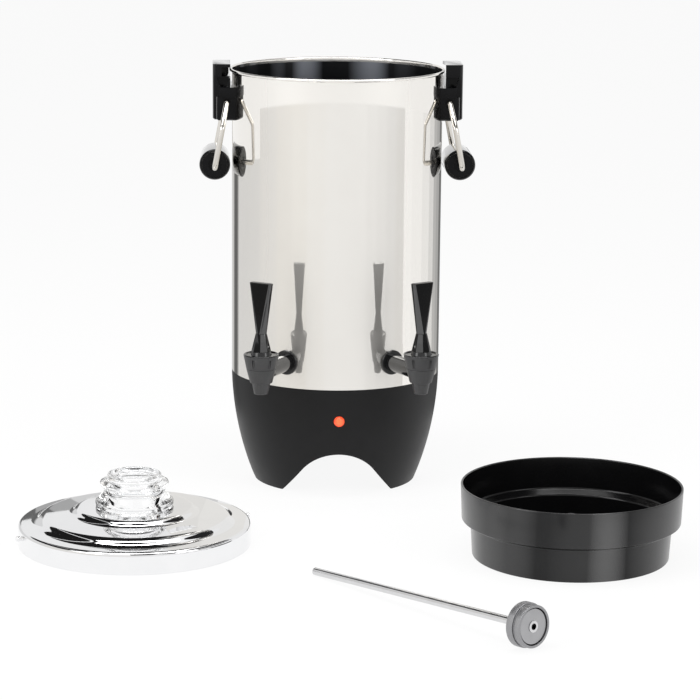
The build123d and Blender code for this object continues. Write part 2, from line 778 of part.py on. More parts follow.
def make_tap(side, angle):
    """All the pieces of one tap, at an angle from the front."""
    profile = tap_profile(angle)
    axis = tap_axis(angle)
    inward = radial_plane(angle, tap_reach, shank_z)
    washer_face = tank_r + washer_t
    name = f"tap_{side}"

    with BuildPart() as body:
        with BuildSketch(profile):
            ring_profile([
                (0, spout_z),
                (spout_tip_r, spout_z),
                (spout_top_r, spout_step_z),
                (cup_low_r, spout_step_z),
                (cup_r, tap_seam_z),
                (0, tap_seam_z),
            ])
        revolve(axis=axis)
        with BuildSketch(inward):
            Circle(shank_r)
        extrude(amount=-(tap_reach - washer_face - seat_gap))
        with BuildSketch(inward):
            Circle(thread_r)
        extrude(amount=-(tap_reach - tank_in_r + thread_in))
        with BuildSketch(tap_level(angle, tap_seam_z)):
            Circle(bonnet_r + hole_gap)
        extrude(amount=shank_r, mode=Mode.SUBTRACT)
        with BuildSketch(tap_level(angle, seat_z)):
            Circle(chamber_r)
        extrude(amount=tap_seam_z - seat_z, mode=Mode.SUBTRACT)
        with BuildSketch(tap_level(angle, spout_z)):
            Circle(outlet_r)
        extrude(amount=seat_z - spout_z, mode=Mode.SUBTRACT)
        with BuildSketch(inward):
            Circle(shank_bore_r)
        extrude(amount=-tap_reach, mode=Mode.SUBTRACT)
    save(body, f"{name}_body")

    plug_low = tap_seam_z - bonnet_plug
    with BuildPart() as bonnet:
        with BuildSketch(profile):
            ring_profile([
                (bonnet_cavity_r, plug_low),
                (chamber_r - thread_gap, plug_low),
                (chamber_r - thread_gap, tap_seam_z + seat_gap),
                (cup_r, tap_seam_z + seat_gap),
                (bonnet_r, bonnet_rim_z),
                (bonnet_r - bonnet_lip_w / 2, bonnet_rim_z + bonnet_lip_h),
                (bonnet_r - bonnet_lip_w, bonnet_dish_z),
                (bonnet_land_r + bonnet_lip_h, bonnet_dish_z),
                (bonnet_land_r, bonnet_top_z),
                (stem_r + run_gap, bonnet_top_z),
                (stem_r + run_gap, bonnet_roof_z),
                (bonnet_cavity_r, bonnet_roof_z),
            ])
        revolve(axis=axis)
        with BuildSketch(tap_level(angle, tap_seam_z + notch_low)):
            with PolarLocations(notch_at, grip_notches):
                Circle(notch_r)
        extrude(amount=notch_high, mode=Mode.SUBTRACT)
    save(bonnet, f"{name}_bonnet")

    cup_low = seat_z + seat_gap
    stem_low = cup_low + stem_foot
    collar_low = cup_low + seat_cup_h
    with BuildPart() as seat_cup:
        with BuildSketch(profile):
            ring_profile([
                (0, cup_low),
                (outlet_r, cup_low),
                (seat_cup_r, cup_low),
                (seat_cup_r, cup_low + seat_cup_h / 2),
                (stem_r + 1.5, cup_low + seat_cup_h - seat_gap),
                (stem_r - 1 + press_gap, cup_low + seat_cup_h - seat_gap),
                (stem_r - 1 + press_gap, stem_low),
                (0, stem_low),
            ])
        revolve(axis=axis)
    save(seat_cup, f"{name}_seat_cup")

    pin_z = bonnet_top_z + lever_pin_h
    with BuildPart() as stem:
        with BuildSketch(profile):
            ring_profile([
                (0, stem_low + seat_gap),
                (stem_r - 1, stem_low + seat_gap),
                (stem_r - 1, collar_low),
                (collar_r, collar_low),
                (collar_r, collar_low + collar_h),
                (stem_r, collar_low + collar_h),
                (stem_r, pin_z + stem_head - 1),
                (stem_r - 1, pin_z + stem_head),
                (0, pin_z + stem_head),
            ])
        revolve(axis=axis)
        with BuildSketch(Plane(origin=profile.origin + Vector(0, 0, pin_z), z_dir=profile.z_dir)):
            Circle(lever_pin_r + run_gap)
        extrude(amount=2 * stem_r, both=True, mode=Mode.SUBTRACT)
    save(stem, f"{name}_stem")

    spring_low = collar_low + collar_h + spring_wire_r + seat_gap
    spring_high = bonnet_roof_z - spring_wire_r - seat_gap
    with BuildPart() as spring:
        with BuildLine(tap_level(angle, spring_low)) as coil:
            Helix((spring_high - spring_low) / spring_turns, spring_high - spring_low, spring_mid_r)
        with BuildSketch(Plane(origin=coil.line @ 0, z_dir=coil.line % 0)):
            RegularPolygon(spring_wire_r, 6)
        sweep(path=coil.line, is_frenet=True)
    save(spring, f"{name}_spring")

    lever_low = bonnet_top_z + move_gap / 2
    base_half = lever_base_w / 2
    with BuildPart() as lever:
        with BuildSketch(tap_level(angle, lever_low)):
            RegularPolygon(base_half, 8, major_radius=False, rotation=22.5)
        with BuildSketch(tap_level(angle, lever_neck_z)):
            RegularPolygon(lever_neck_w / 2, 8, major_radius=False, rotation=22.5)
        loft(ruled=True)
        with BuildSketch(tap_level(angle, lever_neck_z)):
            Rectangle(2 * lever_waist_half, 2 * lever_waist_half)
            chamfer(vertices(), lever_waist_half - lever_waist_flat)
        with BuildSketch(tap_level(angle, lever_top_z)):
            Rectangle(lever_top_d, lever_top_w)
            chamfer(vertices(), lever_corner)
        loft(ruled=True)
        top_edges = lever.faces().sort_by(Axis.Z)[-1].edges()
        fillet(top_edges, lever_corner / 3)
        with BuildSketch(tap_level(angle, lever_low)):
            Rectangle(lever_slot_l, lever_slot_w)
        extrude(amount=pin_z + stem_head + lever_slot_top - lever_low, mode=Mode.SUBTRACT)
        with BuildSketch(Plane(origin=profile.origin + Vector(0, 0, pin_z), z_dir=profile.z_dir)):
            Circle(lever_pin_r + press_gap)
        extrude(amount=lever_base_w, both=True, mode=Mode.SUBTRACT)
    save(lever, f"{name}_lever")

    pin_half = base_half - (base_half - lever_neck_w / 2) * lever_pin_h / (lever_neck_z - lever_low) - 0.4
    with BuildPart() as pin:
        with BuildSketch(Plane(origin=profile.origin + Vector(0, 0, pin_z), z_dir=profile.z_dir)):
            Circle(lever_pin_r)
        extrude(amount=pin_half, both=True)
    save(pin, f"{name}_pin")

    with BuildPart() as outer_washer:
        with BuildSketch(radial_plane(angle, tank_r - washer_t, shank_z)):
            Circle(washer_r)
            Circle(thread_r + thread_gap, mode=Mode.SUBTRACT)
        extrude(amount=2 * washer_t)
        with BuildSketch(Plane.XY.offset(shank_z)):
            Circle(tank_r + seat_gap)
        extrude(amount=2 * washer_r, both=True, mode=Mode.SUBTRACT)
        rim = outer_washer.edges().filter_by(GeomType.CIRCLE).sort_by(lambda e: -e.radius)[0]
        fillet(rim, washer_t / 3)
    save(outer_washer, f"{name}_outer_washer")

    nut_face = tank_in_r - inner_washer_t - seat_gap
    with BuildPart() as inner_washer:
        with BuildSketch(radial_plane(angle, nut_face, shank_z)):
            Circle(inner_washer_r)
        extrude(amount=2 * inner_washer_t)
        with BuildSketch(Plane.XY.offset(shank_z)):
            Circle(tank_in_r - seat_gap)
        extrude(amount=2 * washer_r, both=True, mode=Mode.INTERSECT)
        with BuildSketch(radial_plane(angle, nut_face, shank_z)):
            Circle(thread_r + thread_gap)
        extrude(amount=2 * inner_washer_t, mode=Mode.SUBTRACT)
    save(inner_washer, f"{name}_inner_washer")

    with BuildPart() as nut:
        with BuildSketch(radial_plane(angle, nut_face - seat_gap, shank_z)):
            RegularPolygon(tap_nut_r, 6)
            Circle(thread_r + thread_gap, mode=Mode.SUBTRACT)
        extrude(amount=-tap_nut_h)
    save(nut, f"{name}_nut")


# ---- side brackets with the lid lock, bails and grips ---------------------------------------
rest_tilt = degrees(asin((grip_r + tank_r + rest_gap - pivot_out) / bail_len))
grip_out = pivot_out + bail_len * sin(radians(rest_tilt))
grip_z = pivot_z - bail_len * cos(radians(rest_tilt))
rivet_seat = sqrt(tank_in_r ** 2 - rivet_head_r ** 2) - seat_gap


def make_bracket(side, sign):
    """The moulded bracket on one side of the rim, and the rivets that hold it."""
    inner = sqrt(tank_r ** 2 - ledge_half ** 2) - bracket_sink
    tall = bracket_top_z - bracket_low_z
    with BuildPart() as bracket:
        block(sign * (inner + bracket_out) / 2, 0, bracket_low_z, bracket_out - inner, 2 * tower_half, tall)
        outer_edges = bracket.edges().filter_by(Axis.Z).filter_by(
            lambda e: abs(e.center().X) > body_out
        )
        fillet(outer_edges, bracket_round)
        block(sign * (inner + body_out) / 2, 0, bracket_low_z, body_out - inner, 2 * body_half, body_h)
        body_edges = bracket.edges().filter_by(Axis.Z).filter_by(
            lambda e: abs(e.center().X) > shelf_out and abs(e.center().Y) > body_half - seat_gap
        )
        fillet(body_edges, bracket_round / 2)
        low_edges = bracket.faces().sort_by(Axis.Z)[0].edges().filter_by(
            lambda e: abs(e.center().X) > inner + bracket_sink
        )
        chamfer(low_edges, bracket_chamfer)
        block(sign * (inner + shelf_out) / 2, 0, shelf_z, shelf_out - inner, 2 * ledge_half, shelf_h)
        notch_low = shelf_z + shelf_h
        for face in (-1, 1):
            with BuildSketch(Plane.XY.offset(notch_top_z)):
                with Locations((sign * (notch_in + body_out) / 2, face * tower_half)):
                    Rectangle(body_out - notch_in, 2 * notch_deep)
            with BuildSketch(Plane.XY.offset(notch_low)):
                with Locations((sign * (notch_in + notch_slope + shelf_out) / 2, face * tower_half)):
                    Rectangle(shelf_out - notch_in - notch_slope, 2 * notch_deep - notch_slope)
            loft(ruled=True, mode=Mode.SUBTRACT)
        with Locations((0, 0, bracket_low_z)):
            Cylinder(tank_r + seat_gap, 2 * tall, mode=Mode.SUBTRACT)
        with Locations((0, 0, notch_low)):
            Cylinder(
                lid_skirt_r + move_gap,
                tall,
                align=(Align.CENTER, Align.CENTER, Align.MIN),
                mode=Mode.SUBTRACT,
            )
        block(
            sign * (inner + slot_out) / 2,
            sign * slot_wall / 2,
            slot_low_z,
            slot_out - inner,
            2 * tower_half - slot_wall,
            bracket_top_z - slot_roof_t - slot_low_z,
            mode=Mode.SUBTRACT,
        )
        for face in (-1, 1):
            hole_end = (sign * pivot_out, face * (body_half - pin_deep - hole_gap), pivot_z)
            with BuildSketch(Plane(origin=hole_end, z_dir=(0, face, 0))):
                Circle(bail_r + run_gap)
            extrude(amount=2 * pin_deep, mode=Mode.SUBTRACT)
        for height in rivet_z:
            with BuildSketch(radial_plane(sign * 90, rivet_seat, height)):
                Circle(rivet_r + press_gap)
            extrude(amount=tank_r + rivet_len + seat_gap - rivet_seat, mode=Mode.SUBTRACT)
    save(bracket, f"bracket_{side}")

    with BuildPart() as rivets:
        for height in rivet_z:
            with BuildSketch(radial_plane(sign * 90, rivet_seat, height)):
                Circle(rivet_head_r)
            extrude(amount=-rivet_head_h)
            with BuildSketch(radial_plane(sign * 90, rivet_seat, height)):
                Circle(rivet_r)
            extrude(amount=tank_r + rivet_len - rivet_seat)
        chamfer(rivets.edges().group_by(Axis.X)[0 if sign > 0 else -1], rivet_head_h / 3)
    save(rivets, f"bracket_rivets_{side}")


def make_bail(side, sign):
    """The wire bail that hangs from one bracket, and the grip that turns on it."""
    tilt = radians(rest_tilt)
    swing = Plane(
        origin=(sign * pivot_out, 0, pivot_z),
        x_dir=(0, 1, 0),
        z_dir=(cos(tilt), 0, sign * sin(tilt)),
    )
    pin_end = body_half - pin_deep
    with BuildPart() as bail:
        with BuildLine(swing) as wire:
            FilletPolyline(
                (-pin_end, 0),
                (-bail_neck, 0),
                (-bail_half, -bail_flare),
                (-bail_half, -bail_len),
                (bail_half, -bail_len),
                (bail_half, -bail_flare),
                (bail_neck, 0),
                (pin_end, 0),
                radius=bail_bend,
            )
        with BuildSketch(Plane(origin=wire.line @ 0, z_dir=wire.line % 0)):
            Circle(bail_r)
        sweep(path=wire.line)
    save(bail, f"bail_{side}")

    centre = Plane(origin=(sign * grip_out, 0, grip_z), x_dir=(0, 1, 0), z_dir=(1, 0, 0))
    bore = bail_r + run_gap
    with BuildPart() as grip:
        with BuildSketch(centre):
            ring_profile([
                (-grip_half + grip_dish, bore),
                (-grip_half + grip_dish, grip_dish_r),
                (-grip_half, grip_dish_r),
                (-grip_half, grip_r - grip_chamfer),
                (-grip_half + grip_chamfer, grip_r),
                (grip_half - grip_chamfer, grip_r),
                (grip_half, grip_r - grip_chamfer),
                (grip_half, grip_dish_r),
                (grip_half - grip_dish, grip_dish_r),
                (grip_half - grip_dish, bore),
            ])
        revolve(axis=Axis(centre.origin, (0, 1, 0)))
    save(grip, f"grip_{side}")


# ---- lid, its locking studs and its knob ----------------------------------------------------
def lid_top(radius):
    """Height of the lid's upper face above its rim, at a radius."""
    steps = lid_profile()
    for outer, inner in zip(steps, steps[1:]):
        if inner[0] <= radius <= outer[0]:
            share = (outer[0] - radius) / (outer[0] - inner[0])
            return outer[1] + share * (inner[1] - outer[1])
    return steps[0][1]


def lid_profile():
    """Corners of the lid's upper face, from the shoulder inwards."""
    ring_z = lid_skirt_h + rim_ring_rise
    plate_z = ring_z + step_out_rise
    boss_z = plate_z + plate_rise
    return [
        (lid_skirt_r - lid_round, lid_skirt_h),
        (rim_ring_r, ring_z),
        (rim_ring_r - step_out_run, plate_z),
        (plate_r, boss_z),
        (plate_r - step_in_run, boss_z + step_in_rise),
        (0, boss_z + step_in_rise + crown_rise),
    ]


def make_lid():
    """The pressed lid, its two welded studs and the quarter-turn knob."""
    side_view = upright(lid_x, lid_y, 0, lid_turn)
    axis = Axis((lid_x, lid_y, 0), (0, 0, 1))
    from_above = Plane(origin=(lid_x, lid_y, 0), x_dir=side_view.x_dir, z_dir=(0, 0, 1))
    top = lid_profile()
    crown = lid_top(0)
    neck_hole = knob_neck_r + hole_gap
    neck_z = lid_top(neck_hole)
    outer_face = [(x, z) for x, z in top if x > neck_hole] + [(neck_hole, neck_z)]
    under_face = [(x, z - lid_t) for x, z in reversed(outer_face)]
    with BuildPart() as lid_shell:
        with BuildSketch(side_view):
            ring_profile(
                [(lid_skirt_r, 0), (lid_skirt_r, lid_skirt_h - lid_round)]
                + outer_face
                + under_face
                + [(lid_skirt_r - lid_t, lid_skirt_h - lid_round - lid_t), (lid_skirt_r - lid_t, 0)]
            )
        revolve(axis=axis)
        with BuildSketch(from_above):
            with PolarLocations((knob_neck_r + knob_lug_out) / 2, 2, start_angle=0):
                Rectangle(knob_neck_r + knob_lug_out + 2 * hole_gap, knob_lug_w + 2 * hole_gap)
            with PolarLocations(vent_ring, 1, start_angle=vent_turn):
                with GridLocations(0, vent_pitch, 1, vent_holes):
                    Circle(vent_hole_r)
        extrude(amount=crown + 1, mode=Mode.SUBTRACT)
    save(lid_shell, "lid_shell")

    stud_z = lid_skirt_h - lid_stud_drop
    with BuildPart() as lid_studs:
        for turn in (0, 180):
            out = side_view.x_dir.rotate(Axis.Z, turn)
            with BuildSketch(Plane(origin=side_view.origin + Vector(0, 0, stud_z), z_dir=out)):
                Circle(lid_stud_r)
            extrude(amount=lid_skirt_r + lid_stud_len)
        chamfer(lid_studs.faces().filter_by(GeomType.PLANE).edges(), lid_stud_r / 5)
        with Locations((lid_x, lid_y, 0)):
            Cylinder(lid_skirt_r + seat_gap, 2 * lid_skirt_h, mode=Mode.SUBTRACT)
    save(lid_studs, "lid_studs")

    knob_low = crown + seat_gap
    lug_top = neck_z - lid_t - move_gap / 2
    lug_low = lug_top - knob_lug_t
    hollow_z = knob_low + knob_h - knob_dish - knob_roof
    with BuildPart() as lid_knob:
        with BuildSketch(side_view):
            ring_profile([
                (knob_hollow_r, lug_low),
                (knob_neck_r, lug_low),
                (knob_neck_r, knob_low),
                (knob_foot_r, knob_low),
                (knob_foot_r, knob_low + knob_foot_h),
                (knob_waist_r, knob_low + knob_waist_z),
                (knob_waist_r, knob_low + knob_ring_z - knob_ring_h),
                (knob_ring_r, knob_low + knob_ring_z - knob_ring_h / 2),
                (knob_ring_r, knob_low + knob_ring_z),
                (knob_top_r + knob_taper, knob_low + knob_ring_z + knob_ring_h / 2),
                (knob_top_r, knob_low + knob_h),
                (knob_top_r - knob_lip_w, knob_low + knob_h),
                (knob_top_r - knob_lip_w - knob_dish, knob_low + knob_h - knob_dish),
                (0, knob_low + knob_h - knob_dish),
                (0, hollow_z),
                (knob_hollow_r, hollow_z),
            ])
        revolve(axis=axis)
        with BuildSketch(from_above.offset(lug_low)):
            with PolarLocations(knob_neck_r + knob_lug_out / 2 - 1, 2, start_angle=90):
                Rectangle(knob_lug_out + 2, knob_lug_w)
        extrude(amount=knob_lug_t)
    save(lid_knob, "lid_knob")


# ---- coffee basket --------------------------------------------------------------------------
def make_basket():
    """The basket with its step, its strainer floor and its centre column."""
    side_view = upright(basket_x, basket_y, 0, 0)
    axis = Axis(side_view.origin, (0, 0, 1))
    band_z = basket_step_z + basket_step_h
    column_top = column_h
    bore = tube_r + hole_gap
    with BuildPart() as basket:
        with BuildSketch(side_view):
            ring_profile([
                (0, 0),
                (basket_foot_r, 0),
                (basket_low_r, basket_step_z),
                (basket_band_r, band_z),
                (basket_rim_r, basket_h),
                (basket_rim_r - basket_t, basket_h),
                (basket_band_r - basket_t, band_z + basket_t),
                (basket_low_r - basket_t, basket_step_z + basket_t),
                (basket_foot_r - basket_t, basket_floor_t),
                (column_boss_r, basket_floor_t),
                (column_boss_r, column_boss_h - column_boss_slope),
                (column_r, column_boss_h),
                (column_r, column_top - column_bevel),
                (column_r - column_bevel, column_top),
                (0, column_top),
            ])
        revolve(axis=axis)
        with BuildSketch(Plane(origin=side_view.origin, z_dir=(0, 0, 1))):
            Circle(bore)
        extrude(amount=column_top - column_stop, mode=Mode.SUBTRACT)
        with BuildSketch(Plane(origin=side_view.origin, z_dir=(0, 0, 1))):
            Circle(column_outlet_r)
        extrude(amount=column_top, mode=Mode.SUBTRACT)
        with BuildSketch(Plane(origin=side_view.origin, z_dir=(0, 0, 1))):
            for ring in range(strainer_rings):
                ring_r = strainer_first_r + ring * strainer_pitch
                with PolarLocations(ring_r, round(2 * pi * ring_r / strainer_spacing)):
                    Circle(strainer_hole_r)
        extrude(amount=basket_floor_t, mode=Mode.SUBTRACT)
    save(basket, "basket")


# ---- pump tube, its base and the valve disc under it, lying on the table --------------------
def make_pump():
    """The pump, along a line from its base (0) to the tube's free end."""
    foot_top = pump_neck_h + pump_groove_h + pump_rim_h
    lean = atan2(pump_base_r - tube_r, tube_len - foot_top)
    level = Vector(cos(radians(pump_turn)), sin(radians(pump_turn)), 0)
    along = level * -cos(lean) + Vector(0, 0, -sin(lean))
    free_end = Vector(pump_x, pump_y, tube_r * cos(lean))
    foot = free_end - along * tube_len
    side_dir = Vector(0, 0, 1).cross(level)
    view = Plane(origin=foot, x_dir=along.cross(side_dir), z_dir=side_dir)
    axis = Axis(foot, along)
    up = view.y_dir.dot(along)
    flip = 1 if up > 0 else -1
    roof_z = pump_cavity + pump_top_h

    def along_tube(points):
        return [(x, flip * z) for x, z in points]

    with BuildPart() as pump_tube:
        with BuildSketch(view):
            ring_profile(along_tube([
                (tube_r - tube_t, pump_lift),
                (flare_r, pump_lift),
                (flare_r, pump_lift + flare_h),
                (tube_r, pump_lift + flare_h),
                (tube_r, tube_len),
                (tube_r - tube_t, tube_len),
            ]))
        revolve(axis=axis)
    save(pump_tube, "pump_tube")

    with BuildPart() as pump_base:
        with BuildSketch(view):
            ring_profile(along_tube([
                (tube_r + press_gap, pump_cavity),
                (pump_cavity_r, pump_cavity),
                (pump_cavity_r, 0),
                (pump_neck_r, 0),
                (pump_neck_r, pump_neck_h),
                (pump_groove_r, pump_neck_h),
                (pump_groove_r, pump_neck_h + pump_groove_h),
                (pump_base_r, pump_neck_h + pump_groove_h),
                (pump_base_r, foot_top),
                (pump_base_r - pump_rim_t, foot_top),
                (pump_base_r - pump_rim_t, roof_z),
                (pump_boss_r, roof_z),
                (pump_boss_r, foot_top),
                (tube_r + press_gap, foot_top),
            ]))
        revolve(axis=axis)
        with BuildSketch(Plane(origin=foot, x_dir=view.x_dir, z_dir=along)):
            with PolarLocations(pump_port_ring_r, pump_ports):
                Circle(pump_port_r)
        extrude(amount=foot_top, mode=Mode.SUBTRACT)
    save(pump_base, "pump_base")

    with BuildPart() as pump_valve:
        valve_low = pump_lift + flare_h + seat_gap
        with BuildSketch(view):
            ring_profile(along_tube([
                (tube_r + run_gap, valve_low),
                (valve_r, valve_low),
                (valve_r, valve_low + valve_t),
                (tube_r + run_gap, valve_low + valve_t),
            ]))
        revolve(axis=axis)
    save(pump_valve, "pump_valve")


# ---- wiring under the tank ------------------------------------------------------------------
def make_leads():
    """Insulated leads from the inlet to the fuse, the thermostat, both elements and the lamp."""
    tail_y = inlet_floor - inlet_tail - seat_gap
    live_x = -inlet_pin_pitch / 2
    neutral_x = inlet_pin_pitch / 2
    drop_y = tail_y - 2 * wire_bend + 1
    low = shield_z + shield_t + wire_bend
    joint_z = element_terminal_z
    half_gap = radians(element_gap_angle / 2)
    element_x = element_ring_r * sin(half_gap)
    element_y = element_ring_r * cos(half_gap)
    warmer_x = warmer_ring_r * sin(radians(warmer_gap_angle / 2))
    warmer_y = -warmer_ring_r * cos(radians(warmer_gap_angle / 2))
    touch = terminal_r + seat_gap
    blade_y = thermostat_r / 2
    blade_end = blade_z - terminal_len - seat_gap
    blade_side = blade_y + terminal_r / 2 + seat_gap
    stat_x = -thermostat_ring_r
    fuse_a = Vector(live_x, drop_y, low)
    fuse_b = Vector(stat_x, element_y, low)
    fuse_way = (fuse_b - fuse_a).normalized()
    fuse_mid = (fuse_a + fuse_b) * 0.5
    half = fuse_len / 2 + seat_gap
    to_element = (Vector(-element_x, element_y, 0) - Vector(stat_x, -blade_y, 0)).normalized()
    arrive = Vector(-element_x, element_y, joint_z) - to_element * touch
    element_end = element_terminal_z - terminal_len / 2 - seat_gap
    warmer_end = warmer_terminal_z - terminal_len / 2 - seat_gap
    bulb_y = -(lens_back - seat_gap - bulb_len) + seat_gap
    lamp_turn_y = bulb_y + wire_bend + 2
    lamp_x = bulb_r / 2
    runs = [
        [
            (live_x, tail_y, inlet_z),
            (live_x, drop_y, inlet_z),
            tuple(fuse_a),
            tuple(fuse_mid - fuse_way * half),
        ],
        [
            tuple(fuse_mid + fuse_way * half),
            tuple(fuse_b),
            (stat_x, element_y, blade_z - terminal_len / 2),
            (stat_x, blade_side, blade_z - terminal_len / 2),
        ],
        [
            (stat_x, -blade_y, blade_end),
            (stat_x, -blade_y, joint_z),
            tuple(arrive),
        ],
        [
            (stat_x, blade_y, blade_end),
            (stat_x, blade_y, low),
            (-warmer_x, warmer_y, low),
            (-warmer_x, warmer_y, warmer_end),
        ],
        [
            (neutral_x, tail_y, inlet_z),
            (neutral_x, drop_y, inlet_z),
            (neutral_x, drop_y, low - 1),
            (element_x, element_y, low - 1),
            (element_x, element_y, element_end),
        ],
        [
            (element_x, element_y - touch, joint_z),
            (warmer_x, warmer_y + touch, joint_z),
        ],
    ]
    for sign in SIDES.values():
        runs.append([
            (sign * lamp_x, bulb_y, lamp_z),
            (sign * lamp_x, lamp_turn_y, lamp_z),
            (sign * warmer_x, lamp_turn_y, joint_z),
            (sign * warmer_x, warmer_y - touch, joint_z),
        ])
    with BuildPart() as leads:
        for points in runs:
            with BuildLine() as run:
                if len(points) > 2:
                    FilletPolyline(*points, radius=wire_bend - 1.2)
                else:
                    Polyline(*points)
            with BuildSketch(Plane(origin=run.line @ 0, z_dir=run.line % 0)):
                Circle(wire_r)
            sweep(path=run.line)
    save(leads, "leads")

    with BuildPart() as thermal_fuse:
        with BuildSketch(Plane(origin=fuse_mid - fuse_way * (fuse_len / 2), z_dir=fuse_way)):
            Circle(fuse_r)
        extrude(amount=fuse_len)
    save(thermal_fuse, "thermal_fuse")


for side_name, sign in SIDES.items():
    make_tap(side_name, sign * tap_angle)
    make_bracket(side_name, sign)
    make_bail(side_name, sign)
make_lid()
make_basket()
make_pump()
make_leads()
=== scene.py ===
import json
from math import acos, asin, atan2, cos, degrees, pi, radians, sin, sqrt, tan

import bpy
from mathutils import Matrix, Vector


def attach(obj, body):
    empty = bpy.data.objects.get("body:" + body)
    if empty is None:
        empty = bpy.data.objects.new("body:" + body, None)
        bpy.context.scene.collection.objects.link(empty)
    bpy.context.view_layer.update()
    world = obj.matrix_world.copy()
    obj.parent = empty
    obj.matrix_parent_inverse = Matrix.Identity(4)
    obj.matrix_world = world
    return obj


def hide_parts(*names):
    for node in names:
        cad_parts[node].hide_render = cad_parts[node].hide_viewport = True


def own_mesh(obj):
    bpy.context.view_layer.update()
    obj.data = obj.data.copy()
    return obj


# A coffee urn with its lid, basket and pump set down beside it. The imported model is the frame,
# in metres; outlines are written in millimetres, as a maker would measure them.

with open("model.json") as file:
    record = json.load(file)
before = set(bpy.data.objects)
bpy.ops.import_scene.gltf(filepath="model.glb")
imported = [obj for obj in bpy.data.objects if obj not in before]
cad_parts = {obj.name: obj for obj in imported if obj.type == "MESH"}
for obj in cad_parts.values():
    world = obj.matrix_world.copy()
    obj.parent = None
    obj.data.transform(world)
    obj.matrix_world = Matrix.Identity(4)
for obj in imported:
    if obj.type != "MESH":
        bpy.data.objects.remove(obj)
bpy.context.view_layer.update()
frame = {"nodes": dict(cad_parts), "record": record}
MM = 0.001
FULL = 2 * pi

# ---- where things are, in millimetres -------------------------------------------------------
tank_r = 110.0
wall = 0.6
rim_z = 437.0
seam_z = 117.0
tap_angle = 29.4
tap_reach = 165.0
shank_z = 143.7
lid_at = (-206.0, -259.3)
lid_turn = 20.0
vent_turn = -72.0
vent_out = 75.5
basket_at = (215.7, -309.7)


# ---- camera ---------------------------------------------------------------------------------
def place_camera():
    """A long lens, a little to the left of the urn's own front and above its rim."""
    distance, height, swing = 2.8, 0.738, radians(2.5)
    yaw, pitch, roll = radians(0.324), radians(12.133), radians(0.533)
    ahead = Vector((sin(swing + yaw), cos(swing + yaw), 0))
    right = Vector((cos(swing + yaw), -sin(swing + yaw), 0))
    look = ahead * cos(pitch) - Vector((0, 0, sin(pitch)))
    up = Vector((0, 0, cos(pitch))) + ahead * sin(pitch)
    across = right * cos(roll) + up * sin(roll)
    above = up * cos(roll) - right * sin(roll)
    spot = Vector((-distance * sin(swing), -distance * cos(swing), height))
    data = bpy.data.cameras.new("camera")
    data.sensor_width = 36.0
    data.lens = 138.14
    data.clip_end = 50.0
    camera = bpy.data.objects.new("camera", data)
    bpy.context.scene.collection.objects.link(camera)
    camera.matrix_world = Matrix(
        (
            (across.x, above.x, -look.x, spot.x),
            (across.y, above.y, -look.y, spot.y),
            (across.z, above.z, -look.z, spot.z),
            (0, 0, 0, 1),
        )
    )
    bpy.context.scene.camera = camera


place_camera()


# ---- shader sums ----------------------------------------------------------------------------
class Value:
    """A number that varies over a surface: a socket that takes part in sums."""

    def __init__(self, tree, socket):
        self.tree = tree
        self.socket = socket

    def _sum(self, operation, first, second):
        node = self.tree.nodes.new("ShaderNodeMath")
        node.operation = operation
        for place, term in zip(node.inputs, (first, second)):
            if isinstance(term, Value):
                self.tree.links.new(term.socket, place)
            else:
                place.default_value = term
        return Value(self.tree, node.outputs[0])

    def __add__(self, other):
        return self._sum("ADD", self, other)

    def __radd__(self, other):
        return self._sum("ADD", other, self)

    def __sub__(self, other):
        return self._sum("SUBTRACT", self, other)

    def __rsub__(self, other):
        return self._sum("SUBTRACT", other, self)

    def __mul__(self, other):
        return self._sum("MULTIPLY", self, other)

    def __rmul__(self, other):
        return self._sum("MULTIPLY", other, self)

    def __truediv__(self, other):
        return self._sum("DIVIDE", self, other)

    def __rtruediv__(self, other):
        return self._sum("DIVIDE", other, self)

    def above(self, level):
        return self._sum("GREATER_THAN", self, level)

    def least(self, level):
        return self._sum("MAXIMUM", self, level)

    def most(self, level):
        return self._sum("MINIMUM", self, level)


